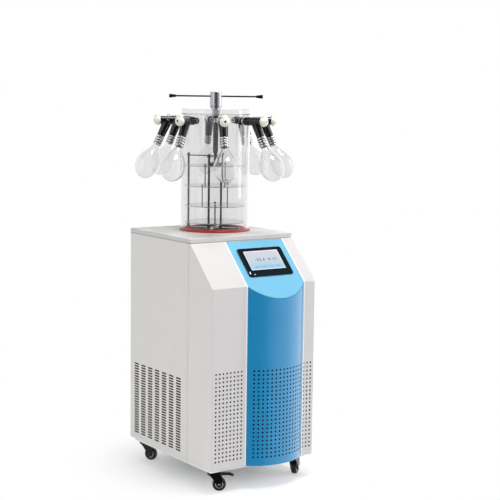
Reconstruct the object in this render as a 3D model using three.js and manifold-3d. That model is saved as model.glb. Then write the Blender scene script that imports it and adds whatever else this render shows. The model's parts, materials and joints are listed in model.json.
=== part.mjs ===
// Freeze dryer: a castored steel cabinet holds a refrigerated trap, its compressor and its condenser.
// A clear drying chamber stands over the trap, with eight flask valves round its wall and a rack of
// shelves inside that a screw press on the lid squeezes together.
// Millimetres, +Z up. The cabinet's front faces -Y. Angles round an upright axis are turns from the
// front, positive towards +X.

import * as THREE from 'three';
import { mergeVertices } from 'three/addons/utils/BufferGeometryUtils.js';
import Module from 'manifold-3d';

const wasm = await Module();
wasm.setup();

// ---------------------------------------------------------------- driving dimensions

const gap = 0.3; // between pieces that are fitted together
const past = 1; // how far a cutting shape runs past the face it cuts

// How many sides the round pieces are given.
const facets = { pin: 6, post: 8, bar: 12, shaft: 16, drum: 20, hub: 24, ring: 32, disc: 36, wall: 48 };

const cabinet = { width: 460, depth: 590, wallHeight: 817, sheet: 2, flange: 12 };
const slope = { rise: 149, depth: 150 }; // the sloping upper front
const fascia = { rightWing: 53, behindSlope: 11, bottomFlange: 24 };
const bulge = { width: 254, rise: 46, returnDepth: 12, steps: 18 };
const worktop = { thickness: 17, sheet: 2 };
const pan = { thickness: 3, railWidth: 60, railDrop: 14, railSetback: 3 };

const display = { width: 155, height: 89, recess: 3, sink: 0.3 };
const screen = { low: 39, sideRim: 22.5, lowRim: 28, topRim: 14, thickness: 4, corner: 10, steps: 3 };
const housing = { inset: 8, depth: 30, step: 1 };

const chamber = { x: 32, fromBack: 203, radius: 133, wall: 9, height: 448 };
const lid = { thickness: 20, spigot: 4 };
const trap = { clearance: 20, wall: 2, depth: 300, flangeWidth: 22, flangeThickness: 2, holeGap: 3 };
const vacuumPort = { radius: 14, wall: 3, below: 222, reach: 25, flange: 20, flangeThickness: 5 };
const gasket = { lip: 5, overlap: 2, height: 7 };

// Reaches are measured out from the chamber's wall.
const valve = { count: 8, turn: -25, below: 25, barrel: 15, reach: 81, bevel: 4, bevelLength: 5 };
const stub = { radius: 9, bore: 5, nut: 13, nutThickness: 5.5 };
const plug = { radius: 7.7, reach: 38 };
const knob = { radius: 19, length: 25, bevel: 4, vent: 5.5, ventDepth: 12, ventRim: 3, sides: 14 };
const lobe = { tip: 25, width: 14, setback: 3 };
const branch = { reach: 52, tilt: 25, top: 14, end: 13, length: 65 };
const spigot = { radius: 9, taper: 1, length: 26 };
const flask = { radius: 47.5, length: 178, wall: 2, collar: 17, collarLength: 40, collarBevel: 2 };

const shelf = { clearance: 6.5, thickness: 3, bottoms: [249.5, 171.5, 94.5, 31] };
const rack = { rodRadius: 3.5, rodInset: 9.5, turn: -46, headroom: 37.5, nut: 6, nutHeight: 9 };
const rackBase = { clearance: 4, width: 22, thickness: 3, spoke: 12, hub: 24, collar: 7 };
const bracket = { thickness: 4, arm: 14, hub: 18, boss: 9 };
const hanger = { radius: 2, rodInset: 28, turns: [-62, -71, -33], head: 4.5, headHeight: 5, nutHeight: 3 };

const screw = { radius: 4.3, intoHub: 37, sleeve: 10.25, sleeveLift: 10, neck: 16.5 };
const foot = { shaft: 7, radius: 26, height: 9, clip: 12, clipHeight: 3 };
const gland = { radius: 15.5, drop: 7, nut: 11, nutHeight: 9.5, flange: 19, flangeThickness: 2.4 };
const hub = { radius: 23.5, height: 62, bevel: 2 };
const bar = { radius: 3, span: 361, up: 45, turn: 55 };
const grip = { length: 27, inner: 4.5, outer: 7.5, insert: 18 };

const caster = { inset: 47, setback: 52, trail: 20, axle: 4 };
const wheel = { radius: 25, width: 22, shoulder: 3, shoulderWidth: 4 };
const fork = { sideGap: 1.5, side: 3, wheelGap: 4, roof: 19.7, head: 24, crown: 11, boss: 11, steps: 6 };
const stem = { radius: 5, length: 12 };
const pedal = { length: 44, width: 22, thickness: 6, pin: 3, eye: 2.5, droop: 9, tip: 4 };
const pivot = { behind: 6, down: 10 }; // the pedal's, behind the axle and below the fork's top
const casterTurns = { front_left: 57, front_right: 127, rear_left: 30, rear_right: 70 };

const compressor = { radius: 78, height: 215, fromSide: 125, fromBack: 160, foot: 190, footThickness: 4 };
const condenser = { width: 300, height: 280, core: 22, start: 45, shroud: 48, sheet: 2, ringMargin: 22 };
const fan = { hub: 30, depth: 24, blades: 5, bladeThickness: 2, pitch: 24, tipGap: 6, shaft: 4 };
const motor = { radius: 34, length: 44, sunk: 11, arm: 16 };

// ---------------------------------------------------------------- worked-out sizes

// Heights above the floor.
const forkTop = 2 * wheel.radius + fork.wheelGap + fork.roof;
const railBottom = forkTop + gap;
const bottom = railBottom + pan.railDrop;
const panTop = bottom + cabinet.sheet + gap + pan.thickness;
const wallTop = bottom + cabinet.wallHeight;
const slopeFoot = wallTop - slope.rise;
const worktopTop = wallTop + gap + worktop.thickness;

const halfWidth = cabinet.width / 2;
const slopeLength = Math.hypot(slope.depth, slope.rise);
const slopeAngle = Math.atan2(slope.rise, slope.depth);
const fasciaDepth = slope.depth + fascia.behindSlope;
const bulgeRight = halfWidth - fascia.rightWing;
const bulgeLeft = bulgeRight - bulge.width;
const bulgeMiddle = (bulgeLeft + bulgeRight) / 2;
const chamberY = cabinet.depth - chamber.fromBack;
const screenWidth = display.width + 2 * screen.sideRim;
const screenHeight = screen.lowRim + display.height + screen.topRim;
const forkSlot = wheel.width + 2 * fork.sideGap;
const forkWidth = forkSlot + 2 * fork.side;

// Radii from the chamber's axis.
const bore = chamber.radius - chamber.wall;
const trapRadius = bore - trap.clearance;
const trapFlange = trapRadius + trap.flangeWidth;
const shelfRadius = bore - shelf.clearance;
const rodCircle = shelfRadius - rack.rodInset;
const barrelEnd = chamber.radius + valve.reach;
const plugStart = chamber.radius + plug.reach;
const branchStart = chamber.radius + branch.reach;

// Heights above the worktop.
const chamberFoot = gasket.height + gap;
const rackTop = shelf.bottoms[0] + shelf.thickness + rack.headroom;
const valveHeight = chamber.height - valve.below;
const glandBottom = chamber.height - gland.drop;
const glandNutBottom = glandBottom - gland.nutHeight;
const hubBottom = chamber.height + lid.thickness + gland.flangeThickness + 2 * gap;
const screwTop = hubBottom + screw.intoHub;
const barHeight = hubBottom + bar.up;

const turnToRadians = (turn) => THREE.MathUtils.degToRad(turn - 90);

// ---------------------------------------------------------------- materials

function paint(color, roughness, metalness = 0) {
  return new THREE.MeshStandardMaterial({ color, roughness, metalness });
}

function clear(color, roughness, opacity) {
  return new THREE.MeshStandardMaterial({ color, roughness, opacity, transparent: true });
}

const materials = {
  greyPaint: paint('#d0cdc8', 0.45),
  whitePaint: paint('#f2f2ef', 0.4),
  skyBlue: paint('#8cd4f5', 0.35),
  deepBlue: paint('#3a8fcb', 0.35),
  blackPlastic: paint('#1b1c1f', 0.4),
  displayGlass: paint('#b9cfdd', 0.1),
  steel: paint('#b9bbbd', 0.3, 1),
  redRubber: paint('#c83228', 0.6),
  acrylic: clear('#eef3f5', 0.05, 0.25),
  glass: clear('#f4f8fa', 0.03, 0.3),
  blackRubber: paint('#202124', 0.7),
  cream: paint('#ebe6d7', 0.4),
  galvanised: paint('#9fa3a6', 0.5, 1),
  aluminium: paint('#c9cccf', 0.4, 1),
};

// ---------------------------------------------------------------- solids

// A closed geometry becomes a solid; a mesh that is inside out is turned the right way.
function solidOf(geometry) {
  const bare = geometry.clone();
  bare.deleteAttribute('normal');
  bare.deleteAttribute('uv');
  const welded = mergeVertices(bare, 1e-4);
  const points = welded.attributes.position;
  const [a, b, c] = [new THREE.Vector3(), new THREE.Vector3(), new THREE.Vector3()];
  const corners = [];
  let volume = 0;
  for (let i = 0; i < welded.index.count; i += 3) {
    const [p, q, r] = [0, 1, 2].map((k) => welded.index.getX(i + k));
    if (p === q || q === r || r === p) continue;
    a.fromBufferAttribute(points, p);
    b.fromBufferAttribute(points, q);
    c.fromBufferAttribute(points, r);
    volume += a.dot(b.clone().cross(c));
    corners.push([p, q, r]);
  }
  const facing = volume < 0 ? corners.map(([p, q, r]) => [p, r, q]) : corners;
  return new wasm.Manifold(
    new wasm.Mesh({
      numProp: 3,
      vertProperties: new Float32Array(points.array),
      triVerts: new Uint32Array(facing.flat()),
    }),
  );
}

function geometryOf(solid) {
  const mesh = solid.getMesh();
  const geometry = new THREE.BufferGeometry();
  geometry.setAttribute('position', new THREE.BufferAttribute(mesh.vertProperties, mesh.numProp));
  geometry.setIndex(new THREE.BufferAttribute(mesh.triVerts, 1));
  geometry.computeVertexNormals();
  return geometry;
}

function join(first, ...rest) {
  return rest.reduce((whole, next) => whole.add(next), first);
}

function cut(first, ...rest) {
  return rest.reduce((whole, next) => whole.subtract(next), first);
}

function block([x0, x1], [y0, y1], [z0, z1]) {
  const geometry = new THREE.BoxGeometry(x1 - x0, y1 - y0, z1 - z0);
  geometry.translate((x0 + x1) / 2, (y0 + y1) / 2, (z0 + z1) / 2);
  return solidOf(geometry);
}

// A straight round bar between two points.
function rod(radius, from, to, sides = facets.shaft, endRadius = radius) {
  const start = new THREE.Vector3(...from);
  const along = new THREE.Vector3(...to).sub(start);
  const geometry = new THREE.CylinderGeometry(endRadius, radius, along.length(), sides);
  geometry.translate(0, along.length() / 2, 0);
  const upright = new THREE.Vector3(0, 1, 0);
  geometry.applyQuaternion(new THREE.Quaternion().setFromUnitVectors(upright, along.normalize()));
  geometry.translate(...start);
  return solidOf(geometry);
}

// The radius of a many-sided hole whose flats clear a round thing, however either one is turned.
function holeFor(radius, sides) {
  return (radius + gap) / Math.cos(Math.PI / sides);
}

// A section of [radius, height] points, turned round the Z axis.
function turned(section, sides) {
  const loop = [...section, section[0]].map(([radius, height]) => new THREE.Vector2(radius, height));
  return new THREE.LatheGeometry(loop, sides).rotateX(Math.PI / 2);
}

// A section of [radius, distance] points, turned round the X axis.
function turnedAlongX(section, sides) {
  return turned(section, sides).rotateY(Math.PI / 2);
}

function plate(shape, z0, z1) {
  const geometry = new THREE.ExtrudeGeometry(shape, { depth: z1 - z0, bevelEnabled: false });
  return geometry.translate(0, 0, z0);
}

function shapeOf(points) {
  return new THREE.Shape(points.map(([x, y]) => new THREE.Vector2(x, y)));
}

// A side outline of [y, z] points, carried from x0 to x1.
function crosswise(outline, x0, x1) {
  const geometry = plate(shapeOf(outline), x0, x1);
  const axes = [[0, 1, 0], [0, 0, 1], [1, 0, 0]].map((axis) => new THREE.Vector3(...axis));
  return solidOf(geometry.applyMatrix4(new THREE.Matrix4().makeBasis(...axes)));
}

function place(solidOrGeometry, name, material, parent, position = [0, 0, 0]) {
  const made = solidOrGeometry.isBufferGeometry ? solidOf(solidOrGeometry) : solidOrGeometry;
  const mesh = new THREE.Mesh(geometryOf(made), material);
  mesh.name = name;
  mesh.position.set(...position);
  parent.add(mesh);
  return mesh;
}

function groupAt(parent, position, turn = null) {
  const group = new THREE.Group();
  group.position.set(...position);
  if (turn !== null) group.rotation.z = turnToRadians(turn);
  parent.add(group);
  return group;
}

function polar(radius, turn) {
  const angle = turnToRadians(turn);
  return [radius * Math.cos(angle), radius * Math.sin(angle)];
}

// ---------------------------------------------------------------- cabinet

// The side outline of the cabinet's front, moved inwards by a given amount.
function frontOutline(inset, back) {
  const [cos, sin] = [Math.cos(slopeAngle), Math.sin(slopeAngle)];
  return [
    [inset, bottom + inset],
    [back, bottom + inset],
    [back, wallTop - inset],
    [slope.depth + (inset * (1 - cos)) / sin, wallTop - inset],
    [inset, slopeFoot + (inset * (sin - 1)) / cos],
  ];
}

function frontFascia() {
  const { sheet, flange } = cabinet;
  const shell = cut(
    crosswise(frontOutline(0, fasciaDepth), -halfWidth, halfWidth),
    crosswise(frontOutline(sheet, fasciaDepth + past), sheet - halfWidth, halfWidth - sheet),
  );
  const floorCut = block(
    [flange - halfWidth, halfWidth - flange],
    [fascia.bottomFlange, fasciaDepth + past],
    [bottom - past, bottom + sheet + past],
  );
  const inside = bulge.returnDepth + gap;
  const window = crosswise(
    [
      [-past, bottom - past],
      [inside, bottom - past],
      [inside, slopeFoot],
      [slope.depth, wallTop - sheet - inside],
      [slope.depth, wallTop - sheet],
      [-slope.depth, wallTop - sheet],
      [-past, slopeFoot],
    ],
    bulgeLeft,
    bulgeRight,
  );
  return cut(shell, floorCut, window);
}

function rearCover() {
  const { sheet, flange, depth } = cabinet;
  const front = fasciaDepth + gap;
  const [inside, opening] = [halfWidth - sheet, halfWidth - flange];
  const shell = cut(
    block([-halfWidth, halfWidth], [front, depth], [bottom, wallTop]),
    block([-inside, inside], [front - past, depth - sheet], [bottom + sheet, wallTop - sheet]),
    block([-opening, opening], [front - past, depth - flange], [bottom - past, wallTop + past]),
  );
  const portHeight = worktopTop - vacuumPort.below;
  const portHole = rod(
    vacuumPort.flange + 2 * gap,
    [chamber.x, depth - 2 * sheet, portHeight],
    [chamber.x, depth + past, portHeight],
    facets.hub,
  );
  return cut(shell, portHole);
}

// The curve of the bulged panel, seen from above, moved inwards by a given amount.
function bulgeCurve(inset) {
  const half = bulge.width / 2;
  const radius = (half * half + bulge.rise * bulge.rise) / (2 * bulge.rise);
  const reach = half - gap - inset;
  const sweep = Math.asin(reach / (radius - inset));
  return Array.from({ length: bulge.steps + 1 }, (_, i) => {
    const angle = sweep * ((2 * i) / bulge.steps - 1);
    return [
      bulgeMiddle + (radius - inset) * Math.sin(angle),
      radius - bulge.rise - (radius - inset) * Math.cos(angle),
    ];
  });
}

function bulgeOutline(inset) {
  const curve = bulgeCurve(inset);
  const [left, right] = [curve[0][0], curve[bulge.steps][0]];
  const back = inset > 0 ? bulge.returnDepth + past : bulge.returnDepth;
  return shapeOf([...curve, [right, back], [left, back]]);
}

function bulgedPanel() {
  const { sheet } = cabinet;
  const lift = slopeFoot + bulge.returnDepth * 2;
  const shell = cut(
    solidOf(plate(bulgeOutline(0), bottom, lift)),
    solidOf(plate(bulgeOutline(sheet), bottom + sheet, lift + past)),
  );
  const overSlope = new THREE.BoxGeometry(cabinet.width, cabinet.width, cabinet.width);
  overSlope.translate(0, 0, cabinet.width / 2 - sheet - gap);
  return cut(shell, solidOf(ontoSlope(overSlope)));
}

// Panel coordinates on the slope: x to the right, y up the slope, z out of it.
function ontoSlope(geometry) {
  return geometry.rotateX(slopeAngle).translate(0, 0, slopeFoot);
}

// A rectangle with round corners in front of the bulge's middle, between two heights up the slope.
function screenOutline(width, low, high) {
  const { corner, steps } = screen;
  const [x, y] = [width / 2 - corner, (high - low) / 2 - corner];
  const quarters = [[x, -y, -1], [x, y, 0], [-x, y, 1], [-x, -y, 2]];
  const points = quarters.flatMap(([cornerX, cornerY, quarter]) => {
    return Array.from({ length: steps + 1 }, (_, i) => {
      const angle = (Math.PI / 2) * (quarter + i / steps);
      return [cornerX + corner * Math.cos(angle), cornerY + corner * Math.sin(angle)];
    });
  });
  return shapeOf(points.map(([across, up]) => [bulgeMiddle + across, (low + high) / 2 + up]));
}

const screenTop = screen.low + screenHeight;
const displayCentre = screen.low + screen.lowRim + display.height / 2;

function housingOutline(clearance) {
  const inset = housing.inset - clearance;
  return screenOutline(screenWidth - 2 * inset, screen.low + inset, screenTop - inset);
}

function controlPanel() {
  const { sheet } = cabinet;
  const top = slopeLength - (sheet + 2 * gap) / Math.sin(slopeAngle);
  const lowerEdge = bulgeCurve(0).map(([x, y]) => [x, y / Math.cos(slopeAngle)]);
  const [left, right] = [lowerEdge[0][0], lowerEdge[bulge.steps][0]];
  const panel = plate(shapeOf([...lowerEdge, [right, top], [left, top]]), -sheet, 0);
  const opening = plate(housingOutline(gap), -sheet - past, past);
  return cut(solidOf(ontoSlope(panel)), solidOf(ontoSlope(opening)));
}

function screenBezel() {
  const face = gap + screen.thickness;
  const front = plate(screenOutline(screenWidth, screen.low, screenTop), gap, face);
  const back = plate(housingOutline(0), -housing.depth, gap + housing.step);
  const pocket = new THREE.BoxGeometry(display.width, display.height, display.recess + past);
  pocket.translate(bulgeMiddle, displayCentre, face + (past - display.recess) / 2);
  return cut(join(solidOf(ontoSlope(front)), solidOf(ontoSlope(back))), solidOf(ontoSlope(pocket)));
}

function screenDisplay() {
  const thickness = display.recess - gap - display.sink;
  const pane = new THREE.BoxGeometry(display.width - 2 * gap, display.height - 2 * gap, thickness);
  const centre = gap + screen.thickness - display.sink - thickness / 2;
  pane.translate(bulgeMiddle, displayCentre, centre);
  return solidOf(ontoSlope(pane));
}

function worktopTray() {
  const underside = wallTop + gap;
  const { sheet } = worktop;
  const tray = cut(
    block([-halfWidth, halfWidth], [slope.depth, cabinet.depth], [underside, worktopTop]),
    block(
      [sheet - halfWidth, halfWidth - sheet],
      [slope.depth + sheet, cabinet.depth - sheet],
      [underside - past, worktopTop - sheet],
    ),
  );
  const hole = trapRadius + trap.holeGap;
  const axis = (z) => [chamber.x, chamberY, z];
  return cut(tray, rod(hole, axis(worktopTop - sheet - past), axis(worktopTop + past), facets.disc));
}

const casterPlaces = Object.entries(casterTurns).map(([name, turn]) => ({
  name,
  turn,
  x: (name.endsWith('left') ? -1 : 1) * (halfWidth - caster.inset),
  y: name.startsWith('front') ? caster.setback : cabinet.depth - caster.setback,
}));

function basePan() {
  const { sheet, depth } = cabinet;
  const [side, front] = [halfWidth - sheet - gap, sheet + gap];
  const floorBottom = panTop - pan.thickness;
  const floor = block([-side, side], [bulge.returnDepth + 2 * gap, depth - front], [floorBottom, panTop]);
  const railSide = halfWidth - cabinet.flange - pan.railSetback;
  const railFront = fascia.bottomFlange + pan.railSetback;
  const railBack = depth - cabinet.flange - pan.railSetback;
  const rails = cut(
    block([-railSide, railSide], [railFront, railBack], [railBottom, floorBottom + past]),
    block(
      [pan.railWidth - railSide, railSide - pan.railWidth],
      [railFront + pan.railWidth, railBack - pan.railWidth],
      [railBottom - past, floorBottom],
    ),
  );
  const sockets = casterPlaces.map(({ x, y }) => {
    const socketTop = railBottom + stem.length + 2 * gap;
    return rod(stem.radius + gap, [x, y, railBottom - past], [x, y, socketTop], facets.bar);
  });
  return cut(join(floor, rails), ...sockets);
}

// ---------------------------------------------------------------- cold side and machinery

function coldTrap() {
  const floor = -trap.depth;
  const inner = trapRadius - trap.wall;
  const flangeTop = gap + trap.flangeThickness;
  const vessel = turned(
    [
      [0, floor],
      [trapRadius, floor],
      [trapRadius, gap],
      [trapFlange, gap],
      [trapFlange, flangeTop],
      [inner, flangeTop],
      [inner, floor + trap.wall],
      [0, floor + trap.wall],
    ],
    facets.disc,
  );
  const along = (distance) => [0, distance, -vacuumPort.below];
  const end = chamber.fromBack + vacuumPort.reach;
  const pipe = rod(vacuumPort.radius, along(inner + trap.wall / 2), along(end));
  const flange = rod(vacuumPort.flange, along(end - vacuumPort.flangeThickness), along(end), facets.drum);
  const pipeBore = rod(vacuumPort.radius - vacuumPort.wall, along(inner - trap.wall), along(end + past));
  return cut(join(solidOf(vessel), pipe, flange), pipeBore);
}

function gasketRing() {
  const seat = gap + trap.flangeThickness + gap;
  const [inner, outer] = [trapRadius + gasket.overlap, chamber.radius + gasket.lip];
  return turned(
    [
      [trapFlange + gap, gap],
      [outer, gap],
      [outer, gasket.height],
      [inner, gasket.height],
      [inner, seat],
      [trapFlange + gap, seat],
    ],
    facets.wall,
  );
}

// A welded pot with a domed top, on its foot plate; its rounded ends are shares of its radius.
function compressorPot() {
  const { radius, height, foot: plateWidth, footThickness } = compressor;
  const lower = [[0.8, 0], [1, 0.25]].map(([out, up]) => [radius * out, radius * up]);
  const upper = [[1, 0.45], [0.85, 0.15], [0.45, 0]];
  const dome = upper.map(([out, down]) => [radius * out, height - radius * down]);
  const pot = turned([[0, 0], ...lower, ...dome, [0, height]], facets.drum);
  const [across, deep] = [plateWidth / 2, radius * 0.85];
  return join(solidOf(pot), block([-across, across], [-deep, deep], [0, footThickness]));
}

const fanCentre = condenser.height / 2;
const fanRing = fanCentre - condenser.ringMargin;
const fanRadius = fanRing - fan.tipGap;

// The condenser's core, its shroud and the fan motor on its cross arms.
function condenserUnit() {
  const half = condenser.width / 2;
  const { core, shroud, sheet, height } = condenser;
  const back = core + shroud;
  const coil = block([-half, half], [0, core], [0, height]);
  const box = cut(
    block([-half, half], [core - past, back], [0, height]),
    block([sheet - half, half - sheet], [core, back - sheet], [sheet, height - sheet]),
    rod(fanRing, [0, back - sheet - past, fanCentre], [0, back + past, fanCentre], facets.ring),
  );
  const motorFront = back - motor.sunk;
  const along = (distance) => [0, distance, fanCentre];
  const motorCan = rod(motor.radius, along(motorFront), along(motorFront + motor.length), facets.drum);
  const shaft = rod(fan.shaft, along(core + gap), along(motorFront + past), facets.bar);
  const armDepth = [back - sheet, back + sheet];
  const [reach, armHalf] = [fanRing + fan.tipGap, motor.arm / 2];
  const arms = [
    block([-reach, reach], armDepth, [fanCentre - armHalf, fanCentre + armHalf]),
    block([-armHalf, armHalf], armDepth, [fanCentre - reach, fanCentre + reach]),
  ];
  return join(coil, box, motorCan, shaft, ...arms);
}

function fanRotor() {
  const { hub: hubRadius, depth, blades, bladeThickness, pitch, shaft } = fan;
  const along = (half) => [[0, -half, 0], [0, half, 0]];
  const rotor = rod(hubRadius, ...along(depth / 2), facets.drum);
  const [inner, chord] = [hubRadius / 2, 1.6 * hubRadius];
  const bladeSolids = Array.from({ length: blades }, (_, i) => {
    const blade = new THREE.BoxGeometry(fanRadius - inner, bladeThickness, chord);
    blade.rotateX(-THREE.MathUtils.degToRad(pitch)).translate((fanRadius + inner) / 2, 0, 0);
    return solidOf(blade.rotateY((2 * Math.PI * i) / blades));
  });
  const limits = rod(fanRadius, ...along(depth / 2), facets.ring);
  const shaftBore = rod(holeFor(shaft, facets.bar), ...along(depth), facets.bar);
  return cut(join(rotor, ...bladeSolids).intersect(limits), shaftBore);
}

// ---------------------------------------------------------------- drying chamber

function chamberTube() {
  const [low, high] = [chamberFoot, chamber.height - gap];
  const wall = [[bore, low], [chamber.radius, low], [chamber.radius, high], [bore, high]];
  const portRadius = holeFor(stub.radius, facets.post);
  const ports = Array.from({ length: valve.count }, (_, i) => {
    const turn = valve.turn + (360 * i) / valve.count;
    const [from, to] = [polar(bore - 2 * past, turn), polar(chamber.radius + past, turn)];
    return rod(portRadius, [...from, valveHeight], [...to, valveHeight], facets.post);
  });
  return cut(solidOf(turned(wall, facets.wall)), ...ports);
}

function lidDisc() {
  const hole = gland.radius + gap;
  const spigotRadius = bore - 2 * gap;
  const low = chamber.height;
  return turned(
    [
      [hole, low - lid.spigot],
      [spigotRadius, low - lid.spigot],
      [spigotRadius, low],
      [chamber.radius, low],
      [chamber.radius, low + lid.thickness],
      [hole, low + lid.thickness],
    ],
    facets.wall,
  );
}

function lidGland() {
  const screwBore = screw.radius + gap;
  const top = chamber.height + lid.thickness + gap;
  return turned(
    [
      [screwBore, glandNutBottom],
      [gland.nut, glandNutBottom],
      [gland.nut, glandBottom],
      [gland.radius, glandBottom],
      [gland.radius, top],
      [gland.flange, top],
      [gland.flange, top + gland.flangeThickness],
      [screwBore, top + gland.flangeThickness],
    ],
    facets.shaft,
  );
}

// One valve's rubber body with its steel stub, in a frame whose +X points out of the chamber.
function valveBody() {
  const inside = Math.sqrt(bore ** 2 - stub.nut ** 2) * Math.cos(Math.PI / facets.wall) - gap;
  const wallFace = chamber.radius + past;
  const nutEnd = inside - stub.nutThickness;
  const plugRoom = holeFor(plug.radius, facets.post);
  const plugSeat = plugStart - gap;
  const barrel = turnedAlongX(
    [
      [stub.bore, nutEnd],
      [stub.nut, nutEnd],
      [stub.nut, inside],
      [stub.radius, inside],
      [stub.radius, wallFace],
      [valve.barrel - valve.bevel, wallFace],
      [valve.barrel, wallFace + valve.bevelLength],
      [valve.barrel, barrelEnd],
      [plugRoom, barrelEnd],
      [plugRoom, plugSeat],
      [stub.bore, plugSeat],
    ],
    facets.post,
  );
  const whole = branch.length + spigot.length;
  const tipEnd = spigot.radius - spigot.taper;
  const arm = alongBranch(branch.top, branch.end, 0, branch.length, facets.post);
  const tip = alongBranch(spigot.radius, tipEnd, branch.length - past, whole, facets.post);
  const passage = alongBranch(stub.bore, stub.bore, past, whole + past, facets.pin);
  const plugBore = rod(plugRoom, [plugSeat, 0, 0], [barrelEnd + past, 0, 0], facets.post);
  return cut(join(solidOf(barrel), arm, tip), passage, plugBore);
}

// A round length of the tilted branch, between two distances down it.
function alongBranch(radius, endRadius, from, to, sides) {
  const geometry = new THREE.CylinderGeometry(radius, endRadius, to - from, sides).rotateX(Math.PI / 2);
  geometry.translate(0, 0, -(from + to) / 2);
  geometry.rotateY(-THREE.MathUtils.degToRad(branch.tilt));
  return solidOf(geometry.translate(branchStart, 0, 0));
}

// The plug that turns in the valve body, with its thumb knob and vent.
function valveKnob() {
  const face = barrelEnd + gap;
  const end = face + knob.length;
  const turnedPart = turnedAlongX(
    [
      [0, plugStart],
      [plug.radius, plugStart],
      [plug.radius, face],
      [knob.radius, face],
      [knob.radius, end - knob.bevel],
      [knob.radius - knob.bevel, end],
      [knob.vent, end],
      [knob.vent, end - knob.ventDepth],
      [0, end - knob.ventDepth],
    ],
    knob.sides,
  );
  const half = lobe.width / 2;
  const thumbLobe = block([face, end - lobe.setback], [-half, half], [knob.vent + knob.ventRim, lobe.tip]);
  return join(solidOf(turnedPart), thumbLobe);
}

// Outer radius of the glass at each distance from the mouth, as a share of the widest radius.
function flaskWall(inset) {
  const start = flask.collarLength;
  const belly = flask.length - start;
  const stations = [[0, 0.29], [0.16, 0.42], [0.36, 0.8], [0.6, 1], [0.78, 0.91], [0.93, 0.53]];
  const wall = stations.map(([share, size]) => [flask.radius * size - inset, start + belly * share]);
  return [...wall, [0, flask.length - inset]];
}

function flaskGlass() {
  const mouth = spigot.radius + gap;
  const outside = flaskWall(0);
  const inside = flaskWall(flask.wall).reverse();
  const section = [
    [mouth, 0],
    [flask.collar, 0],
    [flask.collar, flask.collarLength - flask.collarBevel],
    ...outside,
    ...inside.slice(0, -1),
    [mouth, flask.collarLength],
  ].map(([radius, distance]) => [Math.max(radius, 0), -distance]);
  return turned(section, facets.bar);
}

// ---------------------------------------------------------------- rack, shelves and press

const rodTurns = [rack.turn, rack.turn - 90, rack.turn + 180];

function rackFrame() {
  const base = chamberFoot;
  const baseTop = base + rackBase.thickness;
  const outer = bore - rackBase.clearance;
  const inner = outer - rackBase.width;
  const upright = (radius, z0, z1, sides) => rod(radius, [0, 0, z0], [0, 0, z1], sides);
  const ring = cut(
    upright(outer, base, baseTop, facets.disc),
    upright(inner, base - past, baseTop + past, facets.disc),
  );
  const hubRing = cut(
    upright(rackBase.hub + rackBase.spoke, base, baseTop, facets.shaft),
    upright(rackBase.hub, base - past, baseTop + past, facets.shaft),
  );
  const spokes = [...rodTurns, rack.turn + 90].map((turn) => {
    const [from, to] = [polar(rackBase.hub + past, turn), polar(inner + past, turn)];
    return armBetween(from, to, rackBase.spoke, base, baseTop);
  });
  const bracketBottom = rackTop - bracket.thickness;
  const rods = rodTurns.flatMap((turn) => {
    const at = polar(rodCircle, turn);
    return [
      rod(rack.rodRadius, [...at, base], [...at, rackTop + past], facets.post),
      rod(rackBase.collar, [...at, base], [...at, shelf.bottoms.at(-1) - gap], facets.post),
      rod(rack.nut, [...at, rackTop], [...at, rackTop + rack.nutHeight], facets.pin),
      rod(bracket.boss, [...at, bracketBottom], [...at, rackTop], facets.post),
    ];
  });
  const arms = rodTurns.map((turn) => {
    const [from, to] = [polar(screw.sleeve, turn), polar(rodCircle, turn)];
    return armBetween(from, to, bracket.arm, bracketBottom, rackTop);
  });
  const guide = upright(bracket.hub, bracketBottom, rackTop, facets.shaft);
  const guideRadius = holeFor(screw.sleeve, facets.shaft);
  const guideHole = upright(guideRadius, bracketBottom - past, rackTop + past, facets.shaft);
  return cut(join(ring, hubRing, ...spokes, ...rods, guide, ...arms), guideHole);
}

// A flat bar between two points of a level plane.
function armBetween(from, to, width, z0, z1) {
  const [dx, dy] = [to[0] - from[0], to[1] - from[1]];
  const flat = new THREE.BoxGeometry(Math.hypot(dx, dy), width, z1 - z0);
  flat.rotateZ(Math.atan2(dy, dx));
  return solidOf(flat.translate((from[0] + to[0]) / 2, (from[1] + to[1]) / 2, (z0 + z1) / 2));
}

// Shelf number 0 is the top one. Every lower shelf hangs from the one above by two headed pins, and
// the lowest one stands on the rack's collars.
function shelfPlate(number) {
  const low = shelf.bottoms[number];
  const top = low + shelf.thickness;
  const hole = (radius, at, sides) => rod(radius, [...at, low - past], [...at, top + past], sides);
  const rodHoles = rodTurns.map((turn) => {
    return hole(holeFor(rack.rodRadius, facets.post), polar(rodCircle, turn), facets.post);
  });
  const pinHoles = hangerPlaces(number).map((at) => hole(holeFor(hanger.radius, facets.pin), at, facets.pin));
  const shaftHoles = number === 0 ? [hole(foot.shaft + gap, [0, 0], facets.shaft)] : [];
  const disc = rod(shelfRadius, [0, 0, low], [0, 0, top], facets.disc);
  const pins = hangerPlaces(number - 1).flatMap((at) => {
    const seat = shelf.bottoms[number - 1] + shelf.thickness + gap;
    return [
      rod(hanger.radius, [...at, low - hanger.nutHeight], [...at, seat + past], facets.pin),
      rod(hanger.head, [...at, seat], [...at, seat + hanger.headHeight], facets.post),
      rod(hanger.head, [...at, low - hanger.nutHeight], [...at, low + past], facets.post),
    ];
  });
  return join(cut(disc, ...rodHoles, ...pinHoles, ...shaftHoles), ...pins);
}

// Where the pins of the next lower shelf pass through a shelf.
function hangerPlaces(number) {
  if (number < 0 || number >= hanger.turns.length) return [];
  const circle = rodCircle - hanger.rodInset;
  return [0, 180].map((half) => polar(circle, hanger.turns[number] + half));
}

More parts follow.
